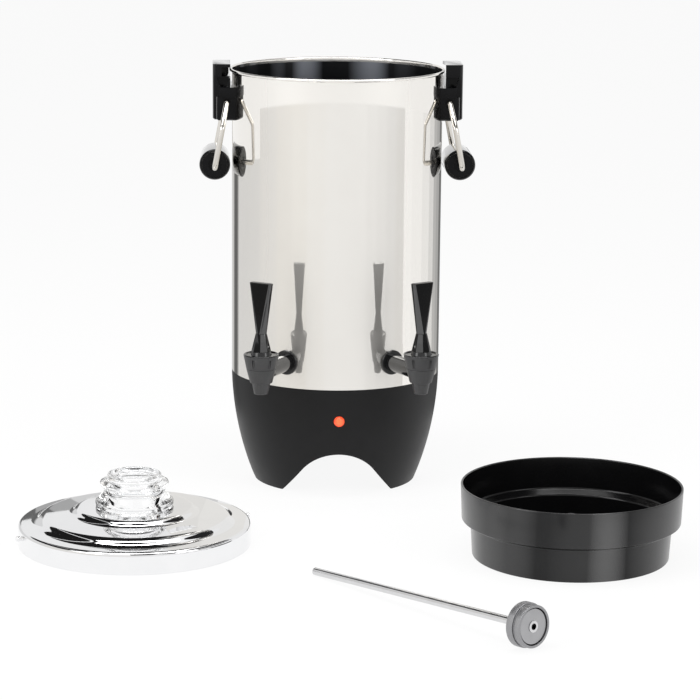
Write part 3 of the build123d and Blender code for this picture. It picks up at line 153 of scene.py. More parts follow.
class Finish:
    """One finish: a material whose surface is worked out from the object's own coordinates."""

    def __init__(self, name, settings=None):
        self.material = bpy.data.materials.new(name)
        self.material.use_nodes = True
        self.tree = self.material.node_tree
        self.shader = self.tree.nodes["Principled BSDF"]
        self.output = self.tree.nodes["Material Output"]
        for socket, value in (settings or {}).items():
            self.shader.inputs[socket].default_value = value
        self.place = self.node("ShaderNodeTexCoord").outputs["Object"]

    def node(self, kind, settings=None, values=None):
        """Any node: its settings first, then the values or links of its sockets."""
        node = self.tree.nodes.new(kind)
        for key, value in (settings or {}).items():
            setattr(node, key, value)
        for key, value in (values or {}).items():
            self.feed(node.inputs[key], value)
        return node

    def feed(self, socket, value):
        if isinstance(value, Value):
            value = value.socket
        if isinstance(value, bpy.types.NodeSocket):
            self.tree.links.new(value, socket)
        else:
            socket.default_value = value

    def stretched(self, scale):
        """The object's coordinates, drawn out or packed together along each axis."""
        node = self.node("ShaderNodeMapping", values={"Vector": self.place, "Scale": scale})
        return node.outputs["Vector"]

    def noise(self, size_mm, detail=3.0, stretch=None):
        """Soft noise with features of about a size in millimetres."""
        place = self.stretched(stretch) if stretch else self.place
        values = {"Vector": place, "Scale": 1.0 / (size_mm * MM), "Detail": detail}
        return Value(self.tree, self.node("ShaderNodeTexNoise", values=values).outputs[0])

    def cells(self, size_mm):
        """Distance to the middle of the nearest cell, for grains and pits."""
        values = {"Vector": self.place, "Scale": 1.0 / (size_mm * MM)}
        node = self.node("ShaderNodeTexVoronoi", values=values)
        return Value(self.tree, node.outputs["Distance"])

    def glance(self):
        """0 where the surface is seen square on, rising to 1 at its edge."""
        node = self.node("ShaderNodeLayerWeight", values={"Blend": 0.5})
        return Value(self.tree, node.outputs["Facing"])

    def axis(self, letter):
        """How far along X, Y or Z a point of the surface is, in metres."""
        node = self.node("ShaderNodeSeparateXYZ", values={"Vector": self.place})
        return Value(self.tree, node.outputs[letter])

    def blend(self, share, first, second):
        """A colour between two colours."""
        node = self.node("ShaderNodeMix", {"data_type": "RGBA"})
        self.feed(node.inputs[0], share)
        self.feed(node.inputs[6], first)
        self.feed(node.inputs[7], second)
        return node.outputs[2]

    def set(self, socket, value):
        self.feed(self.shader.inputs[socket], value)

    def relief(self, height, depth_mm, shaders=None):
        """Raise and sink the surface by a height field, up to a depth in millimetres."""
        values = {"Height": height, "Distance": depth_mm * MM, "Strength": 1.0}
        bump = self.node("ShaderNodeBump", values=values)
        for target in shaders or [self.shader]:
            self.feed(target.inputs["Normal"], bump.outputs["Normal"])

    def mix_in(self, share, other):
        """Let another shader show in place of the first by a share."""
        mix = self.node("ShaderNodeMixShader")
        self.feed(mix.inputs[0], share)
        self.feed(mix.inputs[1], self.shader.outputs[0])
        self.feed(mix.inputs[2], other.outputs[0])
        self.feed(self.output.inputs["Surface"], mix.outputs[0])


def rgb(red, green, blue):
    return (red, green, blue, 1.0)


def tinted(colour, by, lift=0.0):
    """A colour made lighter or darker."""
    return tuple(min(1.0, part * by + lift) for part in colour[:3]) + (1.0,)


def bands(side, start, rows):
    """Soft upright bands of painted reflection added to a value: each a middle, a half width and a
    height.
    """
    for middle, half, height in rows:
        off = (side - middle) / half
        start = start + (1.0 - off * off).least(0.0) * height
    return start


def moulded(name, colour, roughness, grain_mm=0.5, depth_mm=0.006, gloss=0.5):
    """Moulded plastic: a very fine grain, a little unevenness of sheen."""
    finish = Finish(name, {"Specular IOR Level": gloss})
    cloud = finish.noise(18.0, 2.0)
    finish.set("Base Color", finish.blend(cloud, colour, tinted(colour, 1.25, 0.002)))
    finish.set("Roughness", cloud * 0.10 + (roughness - 0.05))
    finish.relief(finish.noise(grain_mm, 2.0), depth_mm)
    return finish.material


def glancing(name, colour, roughness):
    """Black glossy plastic: deep black square on, a clear reflection at a glance."""
    finish = Finish(name, {"Specular IOR Level": 0.12})
    cloud = finish.noise(18.0, 2.0)
    tone = finish.blend(cloud, colour, tinted(colour, 1.3, 0.001))
    polish = {"Specular IOR Level": 1.0, "Coat Weight": 1.0}
    sheen = finish.node("ShaderNodeBsdfPrincipled", values=polish)
    finish.feed(sheen.inputs["Base Color"], tone)
    finish.feed(sheen.inputs["Roughness"], cloud * 0.06 + (roughness - 0.03))
    finish.set("Base Color", tone)
    finish.set("Roughness", cloud * 0.06 + roughness)
    finish.relief(finish.noise(0.5, 2.0), 0.004, [finish.shader, sheen])
    finish.mix_in((finish.glance() * 2.2 - 0.45).least(0.0).most(1.0), sheen)
    return finish.material


def reflection_banded_plastic():
    """The basket's outside: black, with soft upright bands of painted reflection: a sheen fixed to
    it.
    """
    settings = {"Specular IOR Level": 0.12, "Coat IOR": 2.0, "Coat Roughness": 0.2}
    finish = Finish("basket_outside", settings)
    side = finish.axis("X") / MM - basket_at[0]
    polish = finish.noise(30.0, 2.0, stretch=(1, 1, 0.02)) * 0.12 + 0.06
    # Painted reflection: fixed upright bands of thicker coat stand in for reflected light.
    rows = ((-104, 34, 0.50), (-66, 22, 0.32), (22, 19, 0.70), (0, 34, 0.18), (88, 46, 0.36))
    finish.set("Coat Weight", bands(side, polish, rows).most(1.0))
    cloud = finish.noise(20.0, 2.0)
    dark, light = rgb(0.008, 0.008, 0.0085), rgb(0.011, 0.011, 0.0115)
    finish.set("Base Color", finish.blend(cloud, dark, light))
    finish.set("Roughness", cloud * 0.08 + 0.26)
    finish.relief(finish.noise(0.6, 2.0), 0.003)
    return finish.material


def coated(name, colour, roughness, coat, coat_roughness):
    """Moulded plastic with a clear polished skin over it."""
    settings = {"Specular IOR Level": 1.0, "Coat Weight": coat, "Coat Roughness": coat_roughness}
    finish = Finish(name, settings)
    cloud = finish.noise(20.0, 2.0)
    finish.set("Base Color", finish.blend(cloud, colour, tinted(colour, 1.3, 0.001)))
    finish.set("Roughness", cloud * 0.08 + (roughness - 0.04))
    finish.relief(finish.noise(0.6, 2.0), 0.003)
    return finish.material


def plain_metal(name, colour, roughness, grain_mm=1.2, depth_mm=0.004):
    """Plain machined or drawn metal with faint tool marks."""
    finish = Finish(name, {"Metallic": 1.0})
    cloud = finish.noise(9.0, 3.0)
    finish.set("Base Color", finish.blend(cloud, tinted(colour, 0.86), colour))
    finish.set("Roughness", cloud * 0.12 + (roughness - 0.06))
    finish.relief(finish.noise(grain_mm, 2.0, stretch=(1, 1, 0.15)), depth_mm)
    return finish.material


def rolled_steel():
    """Bright rolled sheet: a clear reflection under a milky one that fades at a glance."""
    finish = Finish("rolled_steel", {"Metallic": 1.0})
    cloud = finish.noise(60.0, 2.0)
    grain = finish.noise(0.35, 2.0, stretch=(1, 1, 0.04))
    tone = finish.blend(cloud, rgb(0.890, 0.866, 0.826), rgb(0.910, 0.890, 0.855))
    milky = finish.node("ShaderNodeBsdfPrincipled", values={"Metallic": 1.0})
    finish.feed(milky.inputs["Base Color"], tone)
    finish.feed(milky.inputs["Roughness"], grain * 0.08 + 0.48)
    finish.set("Base Color", tone)
    finish.set("Roughness", grain * 0.02 + 0.018)
    finish.relief(grain, 0.0008, [finish.shader, milky])
    finish.mix_in((cloud * 0.04 + 0.40 - finish.glance() * 0.62).least(0.0), milky)
    return finish.material


def painted_reflection_steel():
    """The inside of the tank: painted shade and reflection, dark steel with pale upright streaks
    fixed to it.
    """
    finish = Finish("painted_reflection_steel", {"Metallic": 1.0})
    side = finish.axis("X") / MM
    brushing_and_reflection = finish.noise(40.0, 2.0, stretch=(1, 1, 0.02)) * 0.10
    # Painted reflection and shade: dark steel, with pale bands placed where reflected light falls;
    # the stretched noise is a faint real grain.
    rows = ((-88, 7, 0.12), (-60, 9, 0.30), (-28, 17, 1.0), (38, 22, 0.95), (76, 12, 0.22))
    brushing_and_reflection = bands(side, brushing_and_reflection, rows)
    dark, pale = rgb(0.018, 0.018, 0.019), rgb(0.27, 0.285, 0.32)
    finish.set("Base Color", finish.blend(brushing_and_reflection.most(1.0), dark, pale))
    finish.set("Roughness", brushing_and_reflection * 0.1 + 0.30)
    finish.relief(finish.noise(0.4, 2.0, stretch=(1, 1, 0.04)), 0.002)
    return finish.material


def bright_plate():
    """Bright plated sheet, almost a mirror, with a trace of unevenness."""
    finish = Finish("bright_plate", {"Metallic": 1.0})
    cloud = finish.noise(30.0, 2.0)
    finish.set("Base Color", finish.blend(cloud, rgb(0.86, 0.865, 0.875), rgb(0.92, 0.92, 0.925)))
    finish.set("Roughness", cloud * 0.03 + 0.035)
    finish.relief(finish.noise(22.0, 1.0), 0.02)
    return finish.material


def clear_moulding():
    """Clear plastic with the faint flow marks of a thick moulding."""
    settings = {"Roughness": 0.05, "IOR": 1.36, "Transmission Weight": 1.0}
    finish = Finish("clear_moulding", settings)
    cloud = finish.noise(12.0, 2.0)
    finish.set("Base Color", finish.blend(cloud, rgb(0.95, 0.955, 0.96), rgb(1.0, 1.0, 1.0)))
    finish.relief(finish.noise(9.0, 1.0), 0.004)
    return finish.material


def glowing_lens():
    """Red lens with a lamp behind it, brightest in the middle."""
    lens_z, falloff = 0.0836, 30000.0
    settings = {"Roughness": 0.12, "IOR": 1.49, "Emission Strength": 0.9}
    finish = Finish("glowing_lens", settings)
    facets = finish.cells(1.6)
    side = finish.axis("X")
    tall = finish.axis("Z") - lens_z
    middle = 1.0 - (side * side + tall * tall) * falloff
    finish.set("Base Color", finish.blend(facets, rgb(0.75, 0.05, 0.02), rgb(0.90, 0.14, 0.05)))
    glow = finish.blend(middle, rgb(0.45, 0.01, 0.0), rgb(1.0, 0.16, 0.05))
    finish.set("Emission Color", glow)
    finish.relief(facets, 0.10)
    return finish.material


def strainer_plastic():
    """The basket's plastic, black inside, with the fine perforation of its floor."""
    finish = Finish("strainer_plastic", {"Specular IOR Level": 0.3})
    across = finish.axis("X") - basket_at[0] * MM
    along = finish.axis("Y") - basket_at[1] * MM
    low = finish.axis("Z")
    holes = finish.cells(2.2)
    out = across * across + along * along
    floor = (1.0 - out.above((88.0 * MM) ** 2)) * (1.0 - low.above(2.5 * MM))
    floor = floor * out.above((14.0 * MM) ** 2)
    pits = (1.0 - holes.above(0.32)) * floor
    cloud = finish.noise(25.0, 2.0)
    shade = finish.blend(cloud, rgb(0.003, 0.003, 0.0033), rgb(0.005, 0.005, 0.0053))
    finish.set("Base Color", finish.blend(pits, shade, rgb(0.03, 0.03, 0.031)))
    finish.set("Roughness", cloud * 0.04 + 0.12 + floor * 0.15)
    finish.relief(finish.noise(0.6, 2.0) * 0.02 - pits, 0.35)
    return finish.material


def braided():
    """Glass-braid sleeving of the leads."""
    finish = Finish("braided", {"Roughness": 0.8})
    weave = finish.cells(0.5)
    finish.set("Base Color", finish.blend(weave, rgb(0.62, 0.60, 0.56), rgb(0.30, 0.29, 0.27)))
    finish.relief(weave, 0.08)
    return finish.material


FINISHES = {
    "polished_steel": rolled_steel(),
    "inner_steel": painted_reflection_steel(),
    "plain_steel": plain_metal("plain_steel", rgb(0.56, 0.56, 0.57), 0.32),
    "skirt_plastic": moulded("skirt_plastic", rgb(0.006, 0.006, 0.0065), 0.42, 0.45, 0.012, 0.22),
    "bracket_plastic": glancing("bracket_plastic", rgb(0.004, 0.004, 0.0045), 0.12),
    "grip_plastic": glancing("grip_plastic", rgb(0.004, 0.004, 0.0045), 0.14),
    "tap_plastic": moulded("tap_plastic", rgb(0.052, 0.052, 0.053), 0.38, 0.5, 0.006, 0.3),
    "tap_gloss": moulded("tap_gloss", rgb(0.006, 0.006, 0.0065), 0.10, 0.9, 0.003, 0.45),
    "shank_gloss": coated("shank_gloss", rgb(0.004, 0.004, 0.0045), 0.10, 0.3, 0.04),
    "lever_plastic": moulded("lever_plastic", rgb(0.002, 0.002, 0.0022), 0.12, 0.8, 0.003, 0.14),
    "lever_facet": coated("lever_facet", rgb(0.003, 0.003, 0.0033), 0.09, 0.6, 0.05),
    "bail_wire": plain_metal("bail_wire", rgb(0.77, 0.74, 0.69), 0.10, 2.0, 0.002),
    "lid_metal": bright_plate(),
    "knob_clear": clear_moulding(),
    "basket_plastic": strainer_plastic(),
    "basket_outside": reflection_banded_plastic(),
    "pump_metal": plain_metal("pump_metal", rgb(0.74, 0.74, 0.75), 0.16),
    "foot_metal": plain_metal("foot_metal", rgb(0.36, 0.36, 0.37), 0.42),
    "valve_metal": plain_metal("valve_metal", rgb(0.44, 0.44, 0.45), 0.34),
    "seal_rubber": moulded("seal_rubber", rgb(0.018, 0.018, 0.018), 0.45, 0.8, 0.01),
    "lens_red": glowing_lens(),
    "lamp_glass": moulded("lamp_glass", rgb(0.9, 0.4, 0.2), 0.1),
    "element_metal": plain_metal("element_metal", rgb(0.30, 0.30, 0.31), 0.42),
    "thermostat_ceramic": moulded("thermostat_ceramic", rgb(0.78, 0.76, 0.70), 0.35),
    "lead_cover": braided(),
    "inlet_plastic": moulded("inlet_plastic", rgb(0.014, 0.014, 0.015), 0.22),
    "pin_brass": plain_metal("pin_brass", rgb(0.80, 0.70, 0.45), 0.22),
}

record = frame["record"]
SLOT_OF = {part["node"]: part["material_slot"] for part in record["subparts"]}
BODY_OF = {node: body for body, nodes in record["behaviour"]["bodies"].items() for node in nodes}


# ---- making pieces --------------------------------------------------------------------------
def let_go():
    """Leave edit mode and have nothing selected."""
    if bpy.context.object and bpy.context.object.mode != "OBJECT":
        bpy.ops.object.mode_set(mode="OBJECT")
    bpy.ops.object.select_all(action="DESELECT")


def hold(piece):
    """Have just this piece selected and active."""
    let_go()
    piece.select_set(True)
    bpy.context.view_layer.objects.active = piece


def rounded(corners, steps=5):
    """Corner points in a plane, those with a radius as a third number turned into arcs."""
    points = []
    count = len(corners)
    for index, corner in enumerate(corners):
        here = Vector(corner[:2])
        radius = corner[2] if len(corner) > 2 else 0
        if not radius:
            points.append(here)
            continue
        before = (Vector(corners[index - 1][:2]) - here).normalized()
        after = (Vector(corners[(index + 1) % count][:2]) - here).normalized()
        half = before.angle(after) / 2
        middle = here + (before + after).normalized() * (radius / sin(half))
        first = here + before * (radius / tan(half)) - middle
        last = here + after * (radius / tan(half)) - middle
        turn = first.angle_signed(last)
        for step in range(steps + 1):
            share = step / steps
            points.append(middle + Matrix.Rotation(-turn * share, 2) @ first)
    return points


def turned(name, outline, place=None, sides=128, crease=32, steps=5):
    """A turned piece: an outline of (radius, height, corner radius) in mm, spun round Z."""
    points = rounded(outline, steps)
    let_go()
    bpy.ops.mesh.primitive_plane_add(size=1)
    piece = bpy.context.object
    piece.name = piece.data.name = name
    bpy.ops.object.mode_set(mode="EDIT")
    bpy.ops.mesh.select_all(action="SELECT")
    bpy.ops.mesh.merge(type="CENTER")
    start = Vector((points[0].x, 0, points[0].y)) * MM
    bpy.ops.transform.translate(value=start)
    last = start
    closed = points[0].x > 0 or points[-1].x > 0
    for point in points[1:] + (points[:1] if closed else []):
        here = Vector((point.x, 0, point.y)) * MM
        bpy.ops.mesh.extrude_vertices_move(TRANSFORM_OT_translate={"value": here - last})
        last = here
    bpy.ops.mesh.select_all(action="SELECT")
    bpy.ops.mesh.spin(steps=sides, angle=FULL, center=(0, 0, 0), axis=(0, 0, 1))
    bpy.ops.mesh.select_all(action="SELECT")
    bpy.ops.mesh.remove_doubles(threshold=0.005 * MM)
    bpy.ops.mesh.normals_make_consistent(inside=False)
    bpy.ops.object.mode_set(mode="OBJECT")
    if place is not None:
        move(piece, place)
    smooth(piece, crease)
    return piece


def move(piece, place):
    """Put a piece in its place, with the place kept in its mesh."""
    hold(piece)
    piece.matrix_world = place @ piece.matrix_world
    bpy.ops.object.transform_apply(location=True, rotation=True, scale=True)


def smooth(piece, crease=32):
    hold(piece)
    bpy.ops.object.shade_smooth_by_angle(angle=radians(crease))


def at(x, y, z=0.0, turn=0.0):
    """A place in mm, turned about the upright axis by degrees."""
    return Matrix.Translation(Vector((x, y, z)) * MM) @ Matrix.Rotation(radians(turn), 4, "Z")


def facing(x, y, z, direction):
    """A place in mm whose own Z axis points in a direction."""
    turn = Vector((0, 0, 1)).rotation_difference(Vector(direction)).to_matrix().to_4x4()
    return Matrix.Translation(Vector((x, y, z)) * MM) @ turn


def rod(name, radius, length, place, sides=64):
    """A plain round tool or pin from a place along its Z axis."""
    let_go()
    bpy.ops.mesh.primitive_cylinder_add(
        vertices=sides, radius=radius * MM, depth=length * MM, location=(0, 0, length * MM / 2)
    )
    piece = bpy.context.object
    piece.name = piece.data.name = name
    bpy.ops.object.transform_apply(location=True, rotation=True, scale=True)
    move(piece, place)
    return piece


def prism(name, outline, length):
    """A flat outline (x, y, corner radius) in mm, drawn up along its Z axis."""
    points = [Vector((point.x, point.y, 0)) * MM for point in rounded(outline)]
    let_go()
    bpy.ops.mesh.primitive_plane_add(size=1)
    piece = bpy.context.object
    piece.name = piece.data.name = name
    bpy.ops.object.mode_set(mode="EDIT")
    bpy.ops.mesh.select_all(action="SELECT")
    bpy.ops.mesh.merge(type="CENTER")
    bpy.ops.transform.translate(value=points[0])
    for last, here in zip(points, points[1:]):
        bpy.ops.mesh.extrude_vertices_move(TRANSFORM_OT_translate={"value": here - last})
    bpy.ops.mesh.select_all(action="SELECT")
    bpy.ops.mesh.edge_face_add()
    bpy.ops.mesh.extrude_region_move(TRANSFORM_OT_translate={"value": (0, 0, length * MM)})
    bpy.ops.mesh.select_all(action="SELECT")
    bpy.ops.mesh.normals_make_consistent(inside=False)
    bpy.ops.object.mode_set(mode="OBJECT")
    return piece


def cut(piece, tool, operation="DIFFERENCE"):
    """Cut a tool out of a piece, or join it on, and put the tool away."""
    hold(piece)
    change = piece.modifiers.new("cut", "BOOLEAN")
    change.operation = operation
    change.solver = "EXACT"
    change.object = tool
    bpy.ops.object.modifier_apply(modifier=change.name)
    bpy.data.objects.remove(tool)
    return piece


def ease(piece, width, angle=30):
    """Round the sharp edges of a piece by a width in mm."""
    hold(piece)
    bevel = piece.modifiers.new("ease", "BEVEL")
    bevel.width = width * MM
    bevel.segments = 2
    bevel.limit_method = "ANGLE"
    bevel.angle_limit = radians(angle)
    bevel.harden_normals = False
    bpy.ops.object.modifier_apply(modifier=bevel.name)
    return piece


def finish_piece(piece, node, finish=None):
    """Give a piece its finish, let it stand for its CAD node and ride with its body."""
    slot = SLOT_OF[node]
    if not piece.data.materials:
        piece.data.materials.append(FINISHES[finish or slot])
    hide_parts(node)
    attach(piece, BODY_OF[node])
    return piece


def two_finishes(piece, first, second, takes_second):
    """Give a piece a first finish, and a second on the faces that a test picks."""
    piece.data.materials.append(FINISHES[first])
    piece.data.materials.append(FINISHES[second])
    for face in piece.data.polygons:
        if takes_second(face):
            face.material_index = 1


def from_solid(name, node, width=0.0, crease=32, flat_angle=1.0):
    """A piece worked up from a copy of its solid: joined up, edges eased and shaded."""
    let_go()
    piece = bpy.data.objects.new(name, frame["nodes"][node].data.copy())
    bpy.context.scene.collection.objects.link(piece)
    piece.data.materials.clear()
    hold(piece)
    bpy.ops.object.mode_set(mode="EDIT")
    bpy.ops.mesh.select_all(action="SELECT")
    bpy.ops.mesh.remove_doubles(threshold=0.002 * MM)
    bpy.ops.mesh.dissolve_limited(angle_limit=radians(flat_angle))
    bpy.ops.object.mode_set(mode="OBJECT")
    if width:
        ease(piece, width)
    smooth(piece, crease)
    return piece


# ---- tank -----------------------------------------------------------------------------------
def make_tank():
    """The wall with its rolled rim: bright outside; inside, painted shade with painted streaks of
    reflection.
    """
    inner = tank_r - wall
    bead, bead_start, bead_sweep, bead_steps = 1.6, 235, 305, 16
    centre = (inner + bead, rim_z - bead)
    outline = [(inner, seam_z), (tank_r, seam_z), (tank_r, rim_z - 2.4 * bead)]
    for step in range(bead_steps + 1):
        angle = radians(bead_start + step * bead_sweep / bead_steps)
        outline.append((centre[0] + bead * cos(angle), centre[1] + bead * sin(angle)))
    outline.append((inner, rim_z - 3 * bead))
    tank = turned("tank_wall", outline, sides=256)

    def is_inside(face):
        outward = face.normal.x * face.center.x + face.normal.y * face.center.y
        return outward < 0 and face.center.z < (rim_z - 2 * bead) * MM

    two_finishes(tank, "polished_steel", "inner_steel", is_inside)
    return finish_piece(tank, "tank_shell")


# ---- skirt ----------------------------------------------------------------------------------
def circle_through(a, b, c):
    """Centre and radius of the circle through three points."""
    ax, ay, bx, by = b[0] - a[0], b[1] - a[1], c[0] - a[0], c[1] - a[1]
    d = 2 * (ax * by - ay * bx)
    cx = (by * (ax * ax + ay * ay) - ay * (bx * bx + by * by)) / d
    cy = (ax * (bx * bx + by * by) - bx * (ax * ax + ay * ay)) / d
    return a[0] + cx, a[1] + cy, sqrt(cx * cx + cy * cy)


SKIRT_ARC = circle_through((86.0, 0), (102.3, 52), (110, 117))


def skirt_radius(z):
    cx, cy, radius = SKIRT_ARC
    return cx + sqrt(radius**2 - (z - cy) ** 2)


def arch_outline():
    """One arch, seen square on: a round top that runs down into two straight flanks."""
    top_r, middle_z, foot, foot_round, below = 45.8, 0.7, 57.0, 2.5, -0.03
    turn = acos(top_r / foot)
    side = []
    for step in range(90, 36, -3):
        angle = radians(step)
        side.append((top_r * cos(angle), middle_z + top_r * sin(angle)))
    side.append((top_r * cos(turn), middle_z + top_r * sin(turn)))
    side += [(foot, below, foot_round), (80, below), (80, -5)]
    return side + [(-x, z, *more) for x, z, *more in reversed(side[1:])]


def make_skirt():
    """The black moulding with three arches between its feet."""
    thick, steps = 3.0, 26
    levels = [seam_z * step / steps for step in range(steps + 1)]
    lip = [(tank_r - 1.5, seam_z), (108.6, seam_z), (108.6, 122), (107, 122), (107, seam_z)]
    outline = [(skirt_radius(z), z) for z in levels] + lip
    outline += [(skirt_radius(z) - thick, z) for z in reversed(levels[:-1])]
    skirt = turned("skirt", outline, sides=192)
    lay_down = Matrix.Rotation(radians(90), 4, "X")
    for arch in range(3):
        tool = prism("arch_tool", arch_outline(), 130)
        move(tool, Matrix.Rotation(radians(120 * arch), 4, "Z") @ lay_down)
        cut(skirt, tool)
    ease(skirt, 0.5, 40)
    smooth(skirt, 30)
    return finish_piece(skirt, "base_skirt")


# ---- taps -----------------------------------------------------------------------------------
def make_tap_body(side, here, spot, out):
    """The tap's body: a tapered chamber with its spout, and the shank to the wall."""
    chamber_top, shank_r, chamber_reach = 148.0, 8.8, 15.5
    body = turned(
        f"tap_{side}_shell",
        [
            (4.5, 121.6, 0.6),
            (7.1, 121.6, 0.9),
            (9.4, 133.4, 0.5),
            (11.3, 133.4, 0.9),
            (15.1, chamber_top, 0.4),
            (10.6, chamber_top),
            (10.6, 136.4),
            (4.5, 136.4),
        ],
        here,
        sides=96,
    )
    shank = rod("shank", shank_r, tap_reach - tank_r - 3, facing(spot.x, spot.y, shank_z, -out))
    cut(body, shank, "UNION")
    cut(body, rod("head", 18.3, 20, at(spot.x, spot.y, chamber_top), 96))
    smooth(body)

    def is_shank(face):
        return face.center.dot(out) < (tap_reach - chamber_reach) * MM

    two_finishes(body, "tap_plastic", "shank_gloss", is_shank)
    finish_piece(body, f"tap_{side}_body")


def make_bonnet(side, here):
    """The screwed bonnet with six grip notches and a glossy dish on top."""
    notches, notch_reach, dish_z = 6, 16.4, 161.5
    bonnet = turned(
        f"tap_{side}_cap",
        [
            (10.5, 144.6),
            (10.5, 148.1),
            (15.1, 148.1, 0.4),
            (18.0, 162.4, 0.7),
            (16.9, 163.4, 0.7),
            (15.8, 161.9, 0.4),
            (10.6, 161.9, 0.5),
            (9.6, 166.0, 0.6),
            (3.6, 166.0),
            (3.6, 159.6),
            (8.2, 159.6),
            (8.2, 144.6),
        ],
        here,
        sides=96,
    )
    for notch in range(notches):
        turn = radians(360 / notches * notch)
        reach = Vector((cos(turn), sin(turn), 0)) * notch_reach * MM
        tool = rod("notch_tool", 1.6, 8.8, at(0, 0, 150.4), 24)
        tool.data.transform(here @ Matrix.Translation(reach))
        cut(bonnet, tool)
    smooth(bonnet)

    def is_dish(face):
        return face.center.z > dish_z * MM and face.normal.z > 0.1

    two_finishes(bonnet, "tap_plastic", "tap_gloss", is_dish)
    finish_piece(bonnet, f"tap_{side}_bonnet")


def make_coil(side):
    """The return spring, its top held in the bonnet."""
    coil = from_solid(f"tap_{side}_coil", f"tap_{side}_spring", 0, 60, 0.1)
    coil.data.materials.append(FINISHES["plain_steel"])
    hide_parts(f"tap_{side}_spring")
    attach(coil, "urn")
    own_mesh(coil)


def make_tap(side, sign):
    """One tap: body with spout and shank, notched bonnet, washer, lever and spring."""
    angle = radians(sign * tap_angle)
    out = Vector((sin(angle), -cos(angle), 0))
    spot = out * tap_reach
    here = Matrix.Translation(spot * MM) @ Matrix.Rotation(atan2(out.y, out.x), 4, "Z")
    make_tap_body(side, here, spot, out)
    make_bonnet(side, here)
    washer_at = tank_r - 0.2
    washer = turned(
        f"tap_{side}_flange",
        [(8.1, 0), (12.8, 0, 0.2), (12.8, 3.2, 1.1), (8.1, 3.2, 0.3)],
        facing(out.x * washer_at, out.y * washer_at, shank_z, out),
        sides=96,
    )
    finish_piece(washer, f"tap_{side}_outer_washer", finish="tap_gloss")
    paddle = from_solid(f"tap_{side}_paddle", f"tap_{side}_lever", 0.35)
    two_finishes(paddle, "lever_plastic", "lever_facet", lambda face: face.normal.y < -0.9)
    finish_piece(paddle, f"tap_{side}_lever")
    make_coil(side)


# ---- brackets, bails and grips --------------------------------------------------------------
def make_side(side, sign):
    """The bracket, bail and grip of one side."""
    finish_piece(from_solid(f"bracket_{side}_block", f"bracket_{side}", 0.9), f"bracket_{side}")
    finish_piece(from_solid(f"bail_{side}_wire", f"bail_{side}", 0, 60, 0.1), f"bail_{side}")
    grip_r, rest_gap, bail_len, pivot_out, pivot_z, half = 16, 1.8, 66.5, 115.5, 404.0, 27.0
    tilt = asin((grip_r + tank_r + rest_gap - pivot_out) / bail_len)
    out = pivot_out + bail_len * sin(tilt)
    down = pivot_z - bail_len * cos(tilt)
    grip = turned(
        f"grip_{side}_roll",
        [
            (3.0, -half + 3),
            (6.5, -half + 3),
            (6.5, -half + 0.7, 0.3),
            (13.0, -half + 0.7, 0.2),
            (13.5, -half, 0.3),
            (14.6, -half, 0.4),
            (16.0, -half + 1.4, 0.7),
            (16.0, half - 1.4, 0.7),
            (14.6, half, 0.4),
            (13.5, half, 0.3),
            (13.0, half - 0.7, 0.2),
            (6.5, half - 0.7, 0.3),
            (6.5, half - 3),
            (3.0, half - 3),
        ],
        facing(sign * out, 0, down, (0, 1, 0)),
        sides=96,
    )
    finish_piece(grip, f"grip_{side}")


# ---- lid and knob ---------------------------------------------------------------------------
def press_vents(shell):
    """The pressed hollow in the lid's top, with its row of five vents."""
    fall, run, pitch, top_z = 3.2, 29, 5.2, 30.0
    tilt = Matrix.Rotation(atan2(fall, run), 4, "Y")
    spot = at(*lid_at, 0, lid_turn + vent_turn) @ at(vent_out, 0, top_z) @ tilt
    hollow = [
        (5.0, -16.5, 2.0),
        (5.0, 16.5, 2.0),
        (-2.5, 14.5, 4.0),
        (-6.0, 0, 12.0),
        (-2.5, -14.5, 4.0),
    ]
    around = [
        (5.5, -17.1, 2.4),
        (5.5, 17.1, 2.4),
        (-3.0, 15.0, 4.4),
        (-6.6, 0, 12.4),
        (-3.0, -15.0, 4.4),
    ]
    pan = prism("vent_pan", around, 2.4)
    move(pan, spot @ at(0, 0, -2.55))
    for target, name in ((pan, "vent_room"), (shell, "vent_opening")):
        room = prism(name, hollow, 4.0)
        move(room, spot @ at(0, 0, -2.0))
        cut(target, room)
    cut(shell, pan, "UNION")
    for place in range(-2, 3):
        turn = vent_turn + lid_turn + degrees(place * pitch / vent_out)
        vent = at(*lid_at, 0, turn) @ at(vent_out, 0, 24.0)
        cut(shell, rod("vent_tool", 2.1, 8, vent, 32))
    smooth(shell, 40)


def make_lid():
    """The stepped lid and its clear knob, lying on the table."""
    top = [
        (113.5, 0),
        (113.5, 21.2, 4.0),
        (97, 22.2, 12.0),
        (90, 28.4, 12.0),
        (61, 31.6, 8.0),
        (56, 36.6, 8.0),
        (23.3, 37.2),
    ]
    edge, skin, drop = 0.6, 0.25, 0.6
    under = []
    for x, z, *more in reversed(top):
        inward = edge if x > 112 else skin
        under.append((max(x - inward, 0), z - (drop if z else 0.0), *more))
    under[0] = (23.3, 36.6)
    place = at(*lid_at, 0, lid_turn)
    shell = turned("lid_pressing", top + under, place, sides=256, crease=50, steps=12)
    press_vents(shell)
    finish_piece(shell, "lid_shell")
    finish_piece(from_solid("lid_pegs", "lid_studs", 0.0), "lid_studs")
    low = 37.6
    knob = turned(
        "knob_moulding",
        [
            (20, 32.9),
            (23, 32.9),
            (23, low),
            (38, low, 1.5),
            (38, low + 5.5, 2.5),
            (30, low + 13, 4),
            (30, low + 19.5, 3),
            (33.5, low + 21.7, 1.0),
            (33.5, low + 24, 1.2),
            (27, low + 25.5, 1.5),
            (26, low + 32, 1.2),
            (24, low + 32, 1.2),
            (20, low + 28, 2.0),
            (0, low + 28),
            (0, low + 23.5),
            (20, low + 23.5, 3),
        ],
        place,
        sides=128,
        crease=60,
    )
    finish_piece(knob, "lid_knob")


